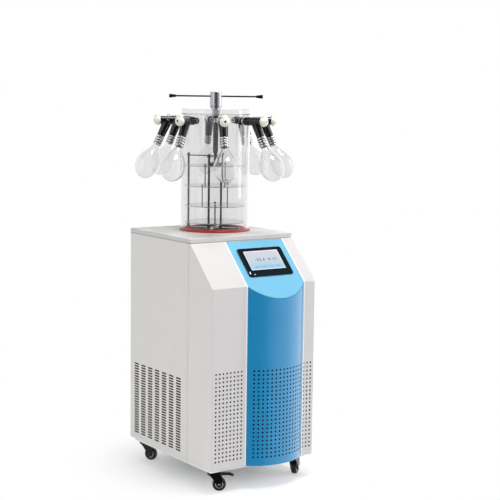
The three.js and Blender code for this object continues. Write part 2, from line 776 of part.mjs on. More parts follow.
// The screw that does not turn, its guide sleeve and the foot clipped to the top shelf.
function pressSpindle() {
  const top = shelf.bottoms[0] + shelf.thickness + gap;
  const under = shelf.bottoms[0] - gap;
  const [sleeveBottom, sleeveTop] = [rackTop + screw.sleeveLift, glandNutBottom - screw.neck];
  return turned(
    [
      [0, under - foot.clipHeight],
      [foot.clip, under - foot.clipHeight],
      [foot.clip, under],
      [foot.shaft, under],
      [foot.shaft, top],
      [foot.radius, top],
      [foot.radius, top + foot.height],
      [foot.shaft, top + foot.height],
      [foot.shaft, sleeveBottom],
      [screw.sleeve, sleeveBottom],
      [screw.sleeve, sleeveTop],
      [screw.radius, sleeveTop],
      [screw.radius, screwTop],
      [0, screwTop],
    ],
    facets.shaft,
  );
}

// ---------------------------------------------------------------- handle

function handleHub() {
  const low = hubBottom;
  const high = low + hub.height;
  const screwRoom = screwTop + gap;
  const body = turned(
    [
      [screw.radius + gap, low],
      [hub.radius, low],
      [hub.radius, high - hub.bevel],
      [hub.radius - hub.bevel, high],
      [0, high],
      [0, screwRoom],
      [screw.radius + gap, screwRoom],
    ],
    facets.hub,
  );
  const reach = hub.radius + past;
  return cut(solidOf(body), alongBar(bar.radius + gap, -reach, reach));
}

// A round length on the handle bar's line.
function alongBar(radius, from, to, endRadius = radius) {
  return rod(radius, [from, 0, barHeight], [to, 0, barHeight], facets.bar, endRadius);
}

const gripStart = bar.span / 2 - grip.length;
const barHalf = gripStart + grip.insert;

function handleGrip(side) {
  const body = alongBar(grip.inner, side * gripStart, (side * bar.span) / 2, grip.outer);
  const barBore = alongBar(bar.radius + gap, side * (gripStart - past), side * (barHalf + gap));
  return cut(body, barBore);
}

// ---------------------------------------------------------------- casters

// A caster's own frame: +X trails from the swivel axis, Y lies along the axle.
const pedalPivot = [caster.trail + pivot.behind, forkTop - pivot.down];

// The side of a caster's fork: a boss round the axle, widening to the head.
function forkOutline() {
  const { head, crown, boss, steps } = fork;
  const bossArc = Array.from({ length: steps + 1 }, (_, i) => {
    const angle = Math.PI * (1 + i / steps);
    return [caster.trail + boss * Math.cos(angle), wheel.radius + boss * Math.sin(angle)];
  });
  const shoulder = forkTop - crown;
  return [...bossArc, [head * 1.25, shoulder], [head * 1.1, forkTop], [-head, forkTop], [-head, shoulder]];
}

function casterFork(braked) {
  const { head } = fork;
  const half = forkWidth / 2;
  const side = plate(shapeOf(forkOutline()), -half, half).rotateX(Math.PI / 2);
  const slotTop = 2 * wheel.radius + fork.wheelGap;
  const slot = block([-2 * head, 3 * head], [-forkSlot / 2, forkSlot / 2], [-past, slotTop]);
  const swivel = rod(stem.radius, [0, 0, forkTop - past], [0, 0, railBottom + stem.length], facets.bar);
  const across = (radius, x, z, sides) => rod(radius, [x, -half, z], [x, half, z], sides);
  const axle = across(caster.axle, caster.trail, wheel.radius, facets.bar);
  const body = join(cut(solidOf(side), slot), swivel, axle);
  if (!braked) return body;
  const [x, z] = pedalPivot;
  const roomHalf = pedal.width / 2 + gap;
  const roomFront = x - pedal.pin - pedal.eye - pedal.thickness / 2;
  const room = block([roomFront, x + 2 * head], [-roomHalf, roomHalf], [slotTop - past, forkTop - fork.side]);
  return join(cut(body, room), across(pedal.pin, x, z, facets.post));
}

function casterWheel() {
  const { radius, shoulder, shoulderWidth } = wheel;
  const half = wheel.width / 2;
  const wheelBore = caster.axle + gap;
  const section = [
    [wheelBore, -half],
    [radius - shoulder, -half],
    [radius, -half + shoulderWidth],
    [radius, half - shoulderWidth],
    [radius - shoulder, half],
    [wheelBore, half],
  ];
  return turned(section, facets.drum).rotateX(Math.PI / 2);
}

// The brake pedal in its pivot's frame, reaching out behind the wheel with its tip turned down.
function brakePedal() {
  const { thickness, droop, tip } = pedal;
  const eye = pedal.pin + pedal.eye;
  const end = eye + pedal.length;
  const outline = [
    [0, -eye],
    [eye, -thickness / 2],
    [end * 0.6, -thickness / 2],
    [end - tip, -droop],
    [end, tip - droop],
    [end * 0.65, thickness / 2],
    [0, thickness / 2 + past],
    [-eye, 0],
  ];
  const half = pedal.width / 2;
  const lever = plate(shapeOf(outline), -half, half).rotateX(Math.PI / 2);
  const pinRadius = holeFor(pedal.pin, facets.post);
  const pinBore = rod(pinRadius, [0, -half - past, 0], [0, half + past, 0], facets.post);
  return cut(solidOf(lever), pinBore);
}

// ---------------------------------------------------------------- assembly

const dryer = new THREE.Group();

place(basePan(), 'base_pan', materials.greyPaint, dryer);
place(rearCover(), 'rear_cover', materials.greyPaint, dryer);
place(frontFascia(), 'front_fascia', materials.whitePaint, dryer);
place(bulgedPanel(), 'lower_front_panel', materials.deepBlue, dryer);
place(controlPanel(), 'control_panel', materials.skyBlue, dryer);
place(worktopTray(), 'worktop', materials.greyPaint, dryer);
place(screenBezel(), 'screen_bezel', materials.blackPlastic, dryer);
place(screenDisplay(), 'screen_display', materials.displayGlass, dryer);

const machineryFloor = panTop + gap;
const [compressorX, compressorY] = [compressor.fromSide - halfWidth, cabinet.depth - compressor.fromBack];
const compressorPlace = [compressorX, compressorY, machineryFloor];
place(compressorPot(), 'compressor', materials.blackRubber, dryer, compressorPlace);
const cooling = groupAt(dryer, [0, condenser.start, machineryFloor]);
place(condenserUnit(), 'condenser', materials.aluminium, cooling);
const fanPlace = [0, condenser.core + 4 * gap + fan.depth / 2, fanCentre];
place(fanRotor(), 'condenser_fan', materials.galvanised, cooling, fanPlace);

const tower = groupAt(dryer, [chamber.x, chamberY, worktopTop]);
place(coldTrap(), 'cold_trap', materials.steel, tower);
place(gasketRing(), 'gasket', materials.redRubber, tower);
place(chamberTube(), 'drying_chamber', materials.acrylic, tower);
place(lidDisc(), 'chamber_lid', materials.acrylic, tower);
place(lidGland(), 'lid_gland', materials.steel, tower);
place(rackFrame(), 'rack_frame', materials.steel, tower);
shelf.bottoms.forEach((_, i) => place(shelfPlate(i), `shelf_${i + 1}`, materials.steel, tower));
place(pressSpindle(), 'press_spindle', materials.steel, tower);

const handle = groupAt(tower, [0, 0, 0], bar.turn);
place(handleHub(), 'handle_hub', materials.aluminium, handle);
place(alongBar(bar.radius, -barHalf, barHalf), 'handle_bar', materials.steel, handle);
place(handleGrip(-1), 'handle_grip_left', materials.blackPlastic, handle);
place(handleGrip(1), 'handle_grip_right', materials.blackPlastic, handle);

const [bodySolid, knobSolid, flaskSolid] = [valveBody(), valveKnob(), flaskGlass()];
for (let i = 0; i < valve.count; i += 1) {
  const arm = groupAt(tower, [0, 0, valveHeight], valve.turn + (360 * i) / valve.count);
  place(bodySolid, `valve_body_${i + 1}`, materials.blackRubber, arm);
  place(knobSolid, `valve_knob_${i + 1}`, materials.cream, arm);
  const hanging = new THREE.Group();
  hanging.position.set(branchStart, 0, 0);
  hanging.rotation.y = -THREE.MathUtils.degToRad(branch.tilt);
  arm.add(hanging);
  place(flaskSolid, `flask_${i + 1}`, materials.glass, hanging, [0, 0, -branch.length - gap]);
}

for (const { name, turn, x, y } of casterPlaces) {
  const braked = name.startsWith('front');
  const wheelFrame = groupAt(dryer, [x, y, 0], turn);
  place(casterFork(braked), `caster_fork_${name}`, materials.blackPlastic, wheelFrame);
  const axlePlace = [caster.trail, 0, wheel.radius];
  place(casterWheel(), `caster_wheel_${name}`, materials.blackRubber, wheelFrame, axlePlace);
  if (braked) {
    const pinPlace = [pedalPivot[0], 0, pedalPivot[1]];
    place(brakePedal(), `brake_pedal_${name}`, materials.blackPlastic, wheelFrame, pinPlace);
  }
}

// The origin is under the middle of the whole object, at the floor.
dryer.updateMatrixWorld(true);
const extent = new THREE.Box3().setFromObject(dryer, true);
const middle = extent.getCenter(new THREE.Vector3());
dryer.position.set(-middle.x, -middle.y, -extent.min.z);

export default dryer;
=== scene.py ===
# Freeze dryer: every visible surface, made round the fixed frame. Metres, +Z up, the front faces -Y.
import json
import math

import bmesh
import bpy
from mathutils import Matrix, Vector


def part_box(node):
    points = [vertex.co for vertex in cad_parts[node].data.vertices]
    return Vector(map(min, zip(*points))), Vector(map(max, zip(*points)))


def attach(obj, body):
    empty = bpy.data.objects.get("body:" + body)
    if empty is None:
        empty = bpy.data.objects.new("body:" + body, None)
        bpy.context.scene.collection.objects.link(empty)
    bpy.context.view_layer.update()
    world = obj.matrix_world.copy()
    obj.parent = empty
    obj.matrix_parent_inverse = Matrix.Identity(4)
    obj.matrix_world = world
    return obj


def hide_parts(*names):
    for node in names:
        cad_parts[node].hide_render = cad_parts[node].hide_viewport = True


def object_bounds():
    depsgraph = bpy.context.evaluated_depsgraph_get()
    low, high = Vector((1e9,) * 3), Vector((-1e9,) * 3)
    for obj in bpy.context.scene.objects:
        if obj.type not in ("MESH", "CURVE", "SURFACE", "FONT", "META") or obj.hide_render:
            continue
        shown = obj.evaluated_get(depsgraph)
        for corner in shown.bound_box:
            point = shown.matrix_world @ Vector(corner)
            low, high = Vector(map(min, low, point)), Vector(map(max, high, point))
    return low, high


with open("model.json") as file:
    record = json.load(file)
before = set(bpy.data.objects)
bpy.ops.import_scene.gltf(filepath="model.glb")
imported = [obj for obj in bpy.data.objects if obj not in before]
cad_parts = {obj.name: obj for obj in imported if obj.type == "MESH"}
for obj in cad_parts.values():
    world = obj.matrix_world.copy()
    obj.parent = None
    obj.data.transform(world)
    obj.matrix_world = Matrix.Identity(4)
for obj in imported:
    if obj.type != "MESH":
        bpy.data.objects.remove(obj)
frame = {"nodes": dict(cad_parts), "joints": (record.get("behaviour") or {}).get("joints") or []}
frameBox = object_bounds()
nodes = frame["nodes"]
joints = {joint["name"]: joint for joint in frame["joints"]}
scene = bpy.context.scene
gap = 0.0003  # between fitted pieces
past = 0.01  # what a cutter reaches beyond its piece
upwards = Vector((0, 0, 1))


def taken(sizes, names):
    # A dictionary's values, in the order of these names.
    return [sizes[name] for name in names.split()]


# Meshes

def fromMesh(name, mesh):
    made = bpy.data.objects.new(name, mesh)
    mesh.name = name
    scene.collection.objects.link(made)
    return made


def meshObject(name, points, faces=()):
    mesh = bpy.data.meshes.new(name)
    mesh.from_pydata([tuple(point) for point in points], [], faces)
    return fromMesh(name, mesh)


def fromBmesh(name, shape):
    mesh = bpy.data.meshes.new(name)
    shape.to_mesh(mesh)
    shape.free()
    return fromMesh(name, mesh)


def welded(piece, outward=True):
    shape = bmesh.new()
    shape.from_mesh(piece.data)
    bmesh.ops.remove_doubles(shape, verts=shape.verts, dist=1e-6)
    bmesh.ops.dissolve_degenerate(shape, dist=1e-6, edges=shape.edges)
    if outward:
        bmesh.ops.recalc_face_normals(shape, faces=shape.faces)
    shape.to_mesh(piece.data)
    shape.free()
    return piece


def evaluated(piece):
    graph = bpy.context.evaluated_depsgraph_get()
    return bpy.data.meshes.new_from_object(piece.evaluated_get(graph), depsgraph=graph)


def baked(piece):
    mesh = evaluated(piece)
    old = piece.data
    piece.modifiers.clear()
    piece.data = mesh
    bpy.data.meshes.remove(old)
    mesh.name = piece.name
    return piece


def bevelled(piece, width, segments=3, angle=30):
    bevel = piece.modifiers.new("edges", "BEVEL")
    bevel.width = width
    bevel.segments = segments
    bevel.limit_method = "ANGLE"
    bevel.angle_limit = math.radians(angle)
    return baked(piece)


def thickened(piece, thickness):
    sheet = piece.modifiers.new("sheet", "SOLIDIFY")
    sheet.thickness = thickness
    sheet.offset = -1
    sheet.use_even_offset = True
    return baked(piece)


def combined(piece, others, operation="DIFFERENCE"):
    for other in others:
        change = piece.modifiers.new("change", "BOOLEAN")
        change.object = other
        change.operation = operation
        change.solver = "MANIFOLD"
    baked(piece)
    for other in others:
        bpy.data.objects.remove(other)
    return piece


def joined(name, pieces):
    shape = bmesh.new()
    for piece in pieces:
        shape.from_mesh(piece.data)
        bpy.data.objects.remove(piece)
    return fromBmesh(name, shape)


def moved(piece, matrix):
    piece.data.transform(matrix)
    if matrix.determinant() < 0:
        piece.data.flip_normals()
    return piece


def copied(piece, name, matrix):
    twin = piece.copy()
    twin.data = piece.data.copy()
    twin.name = name
    twin.data.name = name
    scene.collection.objects.link(twin)
    return moved(twin, matrix)


def smoothed(piece, angle=32, weighted=True):
    piece.data.shade_smooth()
    piece.data.set_sharp_from_angle(angle=math.radians(angle))
    if weighted:  # large flat faces stay flat next to their rounded edges
        normals = piece.modifiers.new("normals", "WEIGHTED_NORMAL")
        normals.keep_sharp = True
        baked(piece)
    return piece


def finished(piece, material=None, body="cabinet", stands=None, angle=32, weighted=True):
    # Smoothed, painted and riding. A piece that is named after a node stands for that node.
    if angle:
        smoothed(piece, angle, weighted)
    if material is not None:
        piece.data.materials.clear()
        piece.data.materials.append(material)
    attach(piece, body)
    node = stands or piece.name.removesuffix("_finished")
    if node in nodes:
        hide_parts(node)


# Outlines: corners are (x, y, radius), and each is rounded by an arc.

def rounded(corners, steps=4, closed=True):
    points = []
    count = len(corners)
    for index, corner in enumerate(corners):
        here, radius = Vector(corner[:2]), corner[2]
        inside = closed or 0 < index < count - 1
        if radius <= 0 or not inside:
            points.append(here)
            continue
        before = Vector(corners[index - 1][:2]) - here
        after = Vector(corners[(index + 1) % count][:2]) - here
        opening = before.angle(after)
        reach = min(radius / math.tan(opening / 2), 0.499 * before.length, 0.499 * after.length)
        start, end = here + before.normalized() * reach, here + after.normalized() * reach
        inwards = (before.normalized() + after.normalized()).normalized()
        centre = here + inwards * (reach / math.cos(opening / 2))
        first, last = start - centre, end - centre
        sweep = math.atan2(first.x * last.y - first.y * last.x, first.dot(last))
        for step in range(steps + 1):
            turn = Matrix.Rotation(sweep * step / steps, 2)
            points.append(centre + turn @ first)
    return [(point.x, point.y) for point in points]


def roundedRectangle(width, height, radius, steps=6, centre=(0, 0)):
    across, up = width / 2, height / 2
    corners = [(-across, -up), (across, -up), (across, up), (-across, up)]
    outline = rounded([(x, y, radius) for x, y in corners], steps)
    return [(x + centre[0], y + centre[1]) for x, y in outline]


def turnsRound(count, whole=2 * math.pi):
    return [whole * step / count for step in range(count)]


def circle(radius, count):
    return [(radius * math.cos(turn), radius * math.sin(turn)) for turn in turnsRound(count)]


def loft(name, loops, capped=True, ring=False):
    # Neighbouring loops of equally many points are joined by quads; ring joins the last to the first.
    count = len(loops[0])
    points = [point for loop in loops for point in loop]
    faces = []
    for span in range(len(loops) if ring else len(loops) - 1):
        low, high = span * count, ((span + 1) % len(loops)) * count
        for side in range(count):
            after = (side + 1) % count
            faces.append((low + side, low + after, high + after, high + side))
    if capped and not ring:
        faces.append(tuple(reversed(range(count))))
        faces.append(tuple(range((len(loops) - 1) * count, len(loops) * count)))
    return welded(meshObject(name, points, faces))


def lathe(name, section, segments=64, place=Matrix()):
    # The section's (radius, height) points are turned round Z; it closes on itself or on the axis.
    onAxis = section[0][0] < 1e-7 and section[-1][0] < 1e-7
    loops = [[(x, y, height) for x, y in circle(radius, segments)] for radius, height in section]
    return moved(loft(name, loops, capped=False, ring=not onAxis), place)


def rod(name, radius, low, high, segments=32, place=Matrix()):
    return lathe(name, [(0, low), (radius, low), (radius, high), (0, high)], segments, place)


def collar(name, inner, outer, low, high, segments, place=Matrix(), ease=0.0, steps=3):
    # A ring of rectangular section with eased corners.
    section = [(inner, low), (outer, low), (outer, high), (inner, high)]
    if ease:
        section = rounded([(*corner, ease) for corner in section], steps)
    return lathe(name, section, segments, place)


def prism(name, outline, low, high, place=Matrix()):
    made = loft(name, [[(x, y, low) for x, y in outline], [(x, y, high) for x, y in outline]])
    return moved(made, place)


def block(name, low, high):
    outline = [(low[0], low[1]), (high[0], low[1]), (high[0], high[1]), (low[0], high[1])]
    return prism(name, outline, low[2], high[2])


def frameOf(x, y, z, origin=(0, 0, 0)):
    return Matrix.Translation(origin) @ Matrix((x, y, z)).transposed().to_4x4()


def axisFrame(origin, along, up=upwards):
    # Local Z runs along the axis, and local X is level or as near to up as it can be.
    z = Vector(along).normalized()
    x = (up - z * up.dot(z)).normalized()
    return frameOf(x, z.cross(x), z, origin)


def tube(name, radius, start, end, segments=24):
    along = Vector(end) - Vector(start)
    up = Vector((1, 0, 0)) if abs(along.normalized().z) > 0.9 else upwards
    return rod(name, radius, 0, along.length, segments, axisFrame(Vector(start), along, up))


def refined(node, width):
    # A copy of the frame's own node with its flat faces whole again and its edges rounded.
    source = nodes[node]
    made = source.copy()
    made.data = source.data.copy()
    made.name = node + "_finished"
    made.parent = None
    for key in list(made.keys()):
        del made[key]
    scene.collection.objects.link(made)
    shape = bmesh.new()
    shape.from_mesh(made.data)
    bmesh.ops.remove_doubles(shape, verts=shape.verts, dist=1e-5)
    bmesh.ops.dissolve_limit(shape, angle_limit=math.radians(1), verts=shape.verts, edges=shape.edges)
    shape.to_mesh(made.data)
    shape.free()
    return bevelled(made, width, 2)


# Node trees, for materials and for geometry.

def addNode(tree, kind, inputs=None, **settings):
    made = tree.nodes.new(kind)
    for name, value in settings.items():
        setattr(made, name, value)
    for key, value in (inputs or {}).items():
        if isinstance(value, bpy.types.NodeSocket):
            tree.links.new(value, made.inputs[key])
        else:
            made.inputs[key].default_value = value
    return made


def result(tree, kind, inputs=None, **settings):
    return addNode(tree, kind, inputs, **settings).outputs[0]


def shaped(tree, kind, inputs=None, **settings):
    return result(tree, "GeometryNode" + kind, inputs, **settings)


def maths(tree, operation, *values):
    return result(tree, "ShaderNodeMath", dict(enumerate(values)), operation=operation)


def vector(tree, **parts):
    return result(tree, "ShaderNodeCombineXYZ", parts)


def ranged(tree, value, span, low=0.0, high=1.0, ease="LINEAR"):
    return result(tree, "ShaderNodeMapRange", {
        "Value": value, "From Min": span[0], "From Max": span[1], "To Min": low, "To Max": high},
        interpolation_type=ease)


def geometryTree(name, **inputs):
    # Its input sockets are named after the values that they take.
    tree = bpy.data.node_groups.new(name, "GeometryNodeTree")
    for label, kind in {"Geometry": "Geometry", **inputs}.items():
        tree.interface.new_socket(label, in_out="INPUT", socket_type="NodeSocket" + kind)
    tree.interface.new_socket("Geometry", in_out="OUTPUT", socket_type="NodeSocketGeometry")
    return tree, addNode(tree, "NodeGroupInput").outputs


def endTree(tree, geometry, material, chosen=True):
    whole = shaped(tree, "RealizeInstances", {"Geometry": geometry})
    painted = shaped(tree, "SetMaterial", {"Geometry": whole, "Selection": chosen, "Material": material})
    addNode(tree, "NodeGroupOutput", {"Geometry": painted})
    return tree


def grown(piece, tree, **values):
    # Sets a tree's inputs by their identifiers, and turns the result into a plain mesh.
    modifier = piece.modifiers.new(tree.name, "NODES")
    modifier.node_group = tree
    for item in tree.interface.items_tree:
        if item.item_type == "SOCKET" and item.in_out == "INPUT" and item.name in values:
            modifier[item.identifier] = values[item.name]
    return baked(piece)


def cutOut(tree, solid, cutter):
    return shaped(tree, "MeshBoolean", {"Mesh 1": solid, "Mesh 2": cutter}, operation="DIFFERENCE", solver="MANIFOLD")


def onPoints(tree, points, instance, turn=(0, 0, 0)):
    return shaped(tree, "InstanceOnPoints", {"Points": points, "Instance": instance, "Rotation": turn})


def punchingTree():
    # Cuts a field of slots or round holes through a sheet whose front faces -Y before it is turned.
    tree, given = geometryTree(
        "punchedHoles", Columns="Int", Rows="Int", ColumnPitch="Float", RowPitch="Float", Width="Float",
        Height="Float", Corner="Float", CornerSteps="Int", Depth="Float", Bend="Float", Turn="Float",
        Centre="Vector", Material="Material", Inside="Material")
    size = [maths(tree, "MULTIPLY", maths(tree, "SUBTRACT", given[count], 1.0), given[pitch])
            for count, pitch in (("Columns", "ColumnPitch"), ("Rows", "RowPitch"))]
    field = shaped(tree, "MeshGrid", {
        "Size X": size[0], "Size Y": size[1], "Vertices X": given["Columns"], "Vertices Y": given["Rows"]})
    place = addNode(tree, "ShaderNodeSeparateXYZ", {0: shaped(tree, "InputPosition")}).outputs
    kept = addNode(tree, "GeometryNodeCaptureAttribute", {"Geometry": field})
    kept.capture_items.new("FLOAT", "Angle")
    tree.links.new(maths(tree, "MULTIPLY", place["X"], given["Bend"]), kept.inputs["Angle"])
    bend = maths(tree, "MAXIMUM", given["Bend"], 1e-4)  # so that a flat sheet divides by no zero
    bentAngle = maths(tree, "MULTIPLY", place["X"], bend)
    across = maths(tree, "DIVIDE", maths(tree, "SINE", bentAngle), bend)
    back = maths(tree, "DIVIDE", maths(tree, "SUBTRACT", 1.0, maths(tree, "COSINE", bentAngle)), bend)
    spot = vector(tree, X=across, Y=back, Z=place["Y"])
    bent = shaped(tree, "SetPosition", {"Geometry": kept.outputs[0], "Position": spot})
    outline = shaped(tree, "CurvePrimitiveQuadrilateral", {"Width": given["Width"], "Height": given["Height"]})
    eased = shaped(tree, "FilletCurve", {
        "Curve": outline, "Radius": given["Corner"], "Count": given["CornerSteps"]}, mode="POLY")
    filled = shaped(tree, "FillCurve", {"Curve": eased}, mode="NGONS")
    raised = shaped(tree, "ExtrudeMesh", {"Mesh": filled, "Offset Scale": given["Depth"], "Individual": False})
    under = shaped(tree, "FlipFaces", {"Mesh": filled})
    both = addNode(tree, "GeometryNodeJoinGeometry")
    for part in (raised, under):
        tree.links.new(part, both.inputs[0])
    closed = shaped(tree, "MergeByDistance", {"Geometry": both.outputs[0], "Distance": 1e-6})
    middle = vector(tree, Z=maths(tree, "MULTIPLY", given["Depth"], -0.5))
    centred = shaped(tree, "Transform", {"Geometry": closed, "Translation": middle})
    facing = shaped(tree, "Transform", {"Geometry": centred, "Rotation": (math.pi / 2, 0, 0)})
    turned = result(tree, "FunctionNodeEulerToRotation", {0: vector(tree, Z=kept.outputs["Angle"])})
    solid = shaped(tree, "RealizeInstances", {"Geometry": onPoints(tree, bent, facing, turned)})
    heading = vector(tree, Z=given["Turn"])
    placed = shaped(tree, "Transform", {"Geometry": solid, "Translation": given["Centre"], "Rotation": heading})
    # The walls of the holes take the Inside material, painted shade.
    dark = shaped(tree, "SetMaterial", {"Geometry": placed, "Material": given["Inside"]})
    punched = cutOut(tree, given["Geometry"], dark)
    isDark = shaped(tree, "MaterialSelection", {"Material": given["Inside"]})
    others = result(tree, "FunctionNodeBooleanMath", {0: isDark}, operation="NOT")
    return endTree(tree, punched, given["Material"], others)


def screwTree():
    # A cross-headed screw on every point of a mesh, turned to face one way.
    tree, given = geometryTree(
        "screwHeads", Radius="Float", Height="Float", Slot="Float", Facing="Vector", Material="Material")
    head = shaped(tree, "MeshCone", {
        "Vertices": 20, "Radius Bottom": given["Radius"], "Depth": given["Height"],
        "Radius Top": maths(tree, "MULTIPLY", given["Radius"], 0.68)})
    slotLength = maths(tree, "MULTIPLY", given["Radius"], 1.1)
    bar = shaped(tree, "MeshCube", {"Size": vector(tree, X=slotLength, Y=given["Slot"], Z=given["Height"])})
    lift = vector(tree, Z=given["Height"])
    for turn in (0, math.pi / 2):
        head = cutOut(tree, head, shaped(tree, "Transform", {
            "Geometry": bar, "Translation": lift, "Rotation": (0, 0, turn)}))
    turned = result(tree, "FunctionNodeEulerToRotation", {0: given["Facing"]})
    return endTree(tree, onPoints(tree, given["Geometry"], head, turned), given["Material"])


def coilTree():
    # A round wire wound upwards round Z.
    tree, given = geometryTree(
        "woundWire", Turns="Float", Radius="Float", Rise="Float", Wire="Float", Steps="Int", Sides="Int",
        Centre="Vector", Material="Material")
    spiral = shaped(tree, "CurveSpiral", {
        "Resolution": given["Steps"], "Rotations": given["Turns"], "Start Radius": given["Radius"],
        "End Radius": given["Radius"], "Height": given["Rise"]})
    wire = shaped(tree, "CurvePrimitiveCircle", {"Resolution": given["Sides"], "Radius": given["Wire"]})
    solid = shaped(tree, "CurveToMesh", {"Curve": spiral, "Profile Curve": wire, "Fill Caps": True})
    placed = shaped(tree, "Transform", {"Geometry": solid, "Translation": given["Centre"]})
    return endTree(tree, shaped(tree, "SetShadeSmooth", {"Geometry": placed}), given["Material"])


def rowTree():
    # Equal boxes in a row, such as fins or bars.
    tree, given = geometryTree(
        "rowOfPlates", Count="Int", Start="Vector", Step="Vector", Size="Vector", Material="Material")
    line = shaped(tree, "MeshLine", {
        "Count": given["Count"], "Start Location": given["Start"], "Offset": given["Step"]})
    plate = shaped(tree, "MeshCube", {"Size": given["Size"]})
    return endTree(tree, onPoints(tree, line, plate), given["Material"])


punchedHoles = punchingTree()
screwHeads = screwTree()
woundWire = coilTree()
rowOfPlates = rowTree()


# Finishes

def linear(code):
    parts = [int(code[start:start + 2], 16) / 255 for start in (1, 3, 5)]
    return tuple(p / 12.92 if p <= 0.04045 else ((p + 0.055) / 1.055) ** 2.4 for p in parts) + (1.0,)


def plainFinish(name, values):
    material = bpy.data.materials.new(name)
    material.use_nodes = True
    tree = material.node_tree
    tree.nodes.clear()
    shader = addNode(tree, "ShaderNodeBsdfPrincipled", values)
    addNode(tree, "ShaderNodeOutputMaterial", {"Surface": shader.outputs[0]})
    return material, tree, shader


def noise(tree, place, scale, detail):
    return result(tree, "ShaderNodeTexNoise", {"Vector": place, "Scale": scale, "Detail": detail})


def objectPlace(tree):
    return addNode(tree, "ShaderNodeTexCoord").outputs["Object"]


def relief(tree, height, bump):
    return result(tree, "ShaderNodeBump", {"Height": height, "Distance": bump, "Strength": 1.0})


def finish(name, colour, roughness, values=None, spread=0.03, patch=12, grain=700, bump=4e-6, uneven=0.06,
           stretch=(1, 1, 1)):
    # Colour that drifts a little over the piece, and a fine grain in its gloss and its height.
    material, tree, shader = plainFinish(name, values or {})
    place = objectPlace(tree)
    drawn = result(tree, "ShaderNodeMapping", {"Vector": place, "Scale": stretch})
    broad, fine = noise(tree, place, patch, 3.0), noise(tree, drawn, grain, 3.0)
    darker, lighter = (tuple(min(1.0, part * share) for part in linear(colour)[:3]) + (1.0,)
                       for share in (1 - spread, 1 + spread))
    drift = ranged(tree, broad, (0.3, 0.7))
    tint = addNode(tree, "ShaderNodeMix", {0: drift, 6: darker, 7: lighter}, data_type="RGBA").outputs[2]
    gloss = ranged(tree, fine, (0.25, 0.75), max(0.0, roughness - uneven), roughness + uneven)
    tree.links.new(tint, shader.inputs["Base Color"])
    tree.links.new(gloss, shader.inputs["Roughness"])
    tree.links.new(relief(tree, fine, bump), shader.inputs["Normal"])
    return material


def clearFinish(name, colour, index, shine, haze, patch, bump):
    # Clear, with faint waves in its surface and a little haze.
    material, tree, shader = plainFinish(name, {
        "Base Color": linear(colour), "Roughness": 0.0, "IOR": index, "Transmission Weight": 1.0,
        "Specular IOR Level": shine})
    waves = noise(tree, objectPlace(tree), patch, 1.0)
    tree.links.new(ranged(tree, waves, (0.0, 1.0), 0.0, haze), shader.inputs["Roughness"])
    tree.links.new(relief(tree, waves, bump), shader.inputs["Normal"])
    return material


def shine(level, **more):
    return {"Specular IOR Level": level, **more}


def coat(weight, roughness, **more):
    return {"Coat Weight": weight, "Coat Roughness": roughness, **more}


def glow(code, strength):
    return {"Emission Color": linear(code), "Emission Strength": strength}


glossPaint = {**coat(0.35, 0.08), **shine(0.5)}
metal = {"Metallic": 1.0}
creamDepth = {"Subsurface Weight": 0.12, "Subsurface Radius": (0.004, 0.003, 0.002), "Coat Weight": 0.25}

bodyPaint = finish("bodyPaint", "#e1dfdc", 0.42, shine(0.45), spread=0.012, grain=900, bump=6e-6)
# A darker copy of the body paint on the same white sheet: painted shade for the fascia's front and slope.
wingPaint = finish("wingPaint", "#d2cfcf", 0.36, shine(0.5), spread=0.01, grain=900, bump=5e-6)
# A brighter white than the body paint: partly a painted highlight on the edging, and painted light on the base pan
# against the shade under the cabinet.
edgePaint = finish("edgePaint", "#f2f4f6", 0.3, glossPaint, spread=0.01, bump=3e-6)
deckPaint = finish("deckPaint", "#cfcecc", 0.46, shine(0.45), spread=0.015, grain=800, bump=6e-6)
skyPaint = finish("skyPaint", "#6fb9da", 0.3, glossPaint, spread=0.02, grain=900)
bluePaint = finish("bluePaint", "#0888bf", 0.26, coat(0.7, 0.1), grain=900)
blackPlastic = finish("blackPlastic", "#090a0c", 0.34, shine(0.3), spread=0.08, grain=1500, bump=8e-6)
bezelPlastic = finish("bezelPlastic", "#06121a", 0.1, shine(0.22), spread=0.08, grain=1500, bump=2e-6, uneven=0.03)
blackEnamel = finish("blackEnamel", "#1b1c1e", 0.3, glossPaint, spread=0.06, grain=400, bump=8e-6)
redRubber = finish("redRubber", "#b3231f", 0.34, coat(0.2, 0.2), spread=0.05, grain=900, bump=1e-5)
# A brighter copy of the red rubber, painted light for the seat ring in the shade of the shelves.
seatRubber = finish("seatRubber", "#e5463c", 0.55, shine(0.2), spread=0.05, grain=900, bump=1e-5)
blackRubber = finish("blackRubber", "#07080a", 0.4, {**shine(0.1), **coat(1.0, 0.04)}, spread=0.1, grain=1300,
                     bump=1.2e-5)
tyreRubber = finish("tyreRubber", "#1a1b1d", 0.5, spread=0.12, grain=1400, bump=2e-5)
creamPlastic = finish("creamPlastic", "#e9e6dc", 0.3, creamDepth, spread=0.02, grain=900, bump=5e-6)
paleRing = finish("paleRing", "#b9bcbe", 0.35, spread=0.04, grain=900, bump=6e-6)
trapSteel = finish("trapSteel", "#e4e6e8", 0.38, {"Metallic": 0.6}, grain=260, bump=2e-6)
steel = finish("steel", "#c9cbcd", 0.11, metal, grain=260, bump=2e-6, uneven=0.05, stretch=(1, 1, 0.15))
shelfSteel = finish("shelfSteel", "#c6c8ca", 0.14, metal, grain=260, bump=2e-6)
darkSteel = finish("darkSteel", "#34363a", 0.2, metal, spread=0.06, grain=300, bump=3e-6, stretch=(1, 1, 0.2))
spindleSteel = finish("spindleSteel", "#606266", 0.16, metal, spread=0.04, grain=260, bump=2e-6, stretch=(1, 1, 0.15))
turnedAluminium = finish("turnedAluminium", "#b3b5b8", 0.32, metal, spread=0.05, patch=30, grain=90, bump=9e-6,
                         uneven=0.1, stretch=(0.12, 0.12, 14))
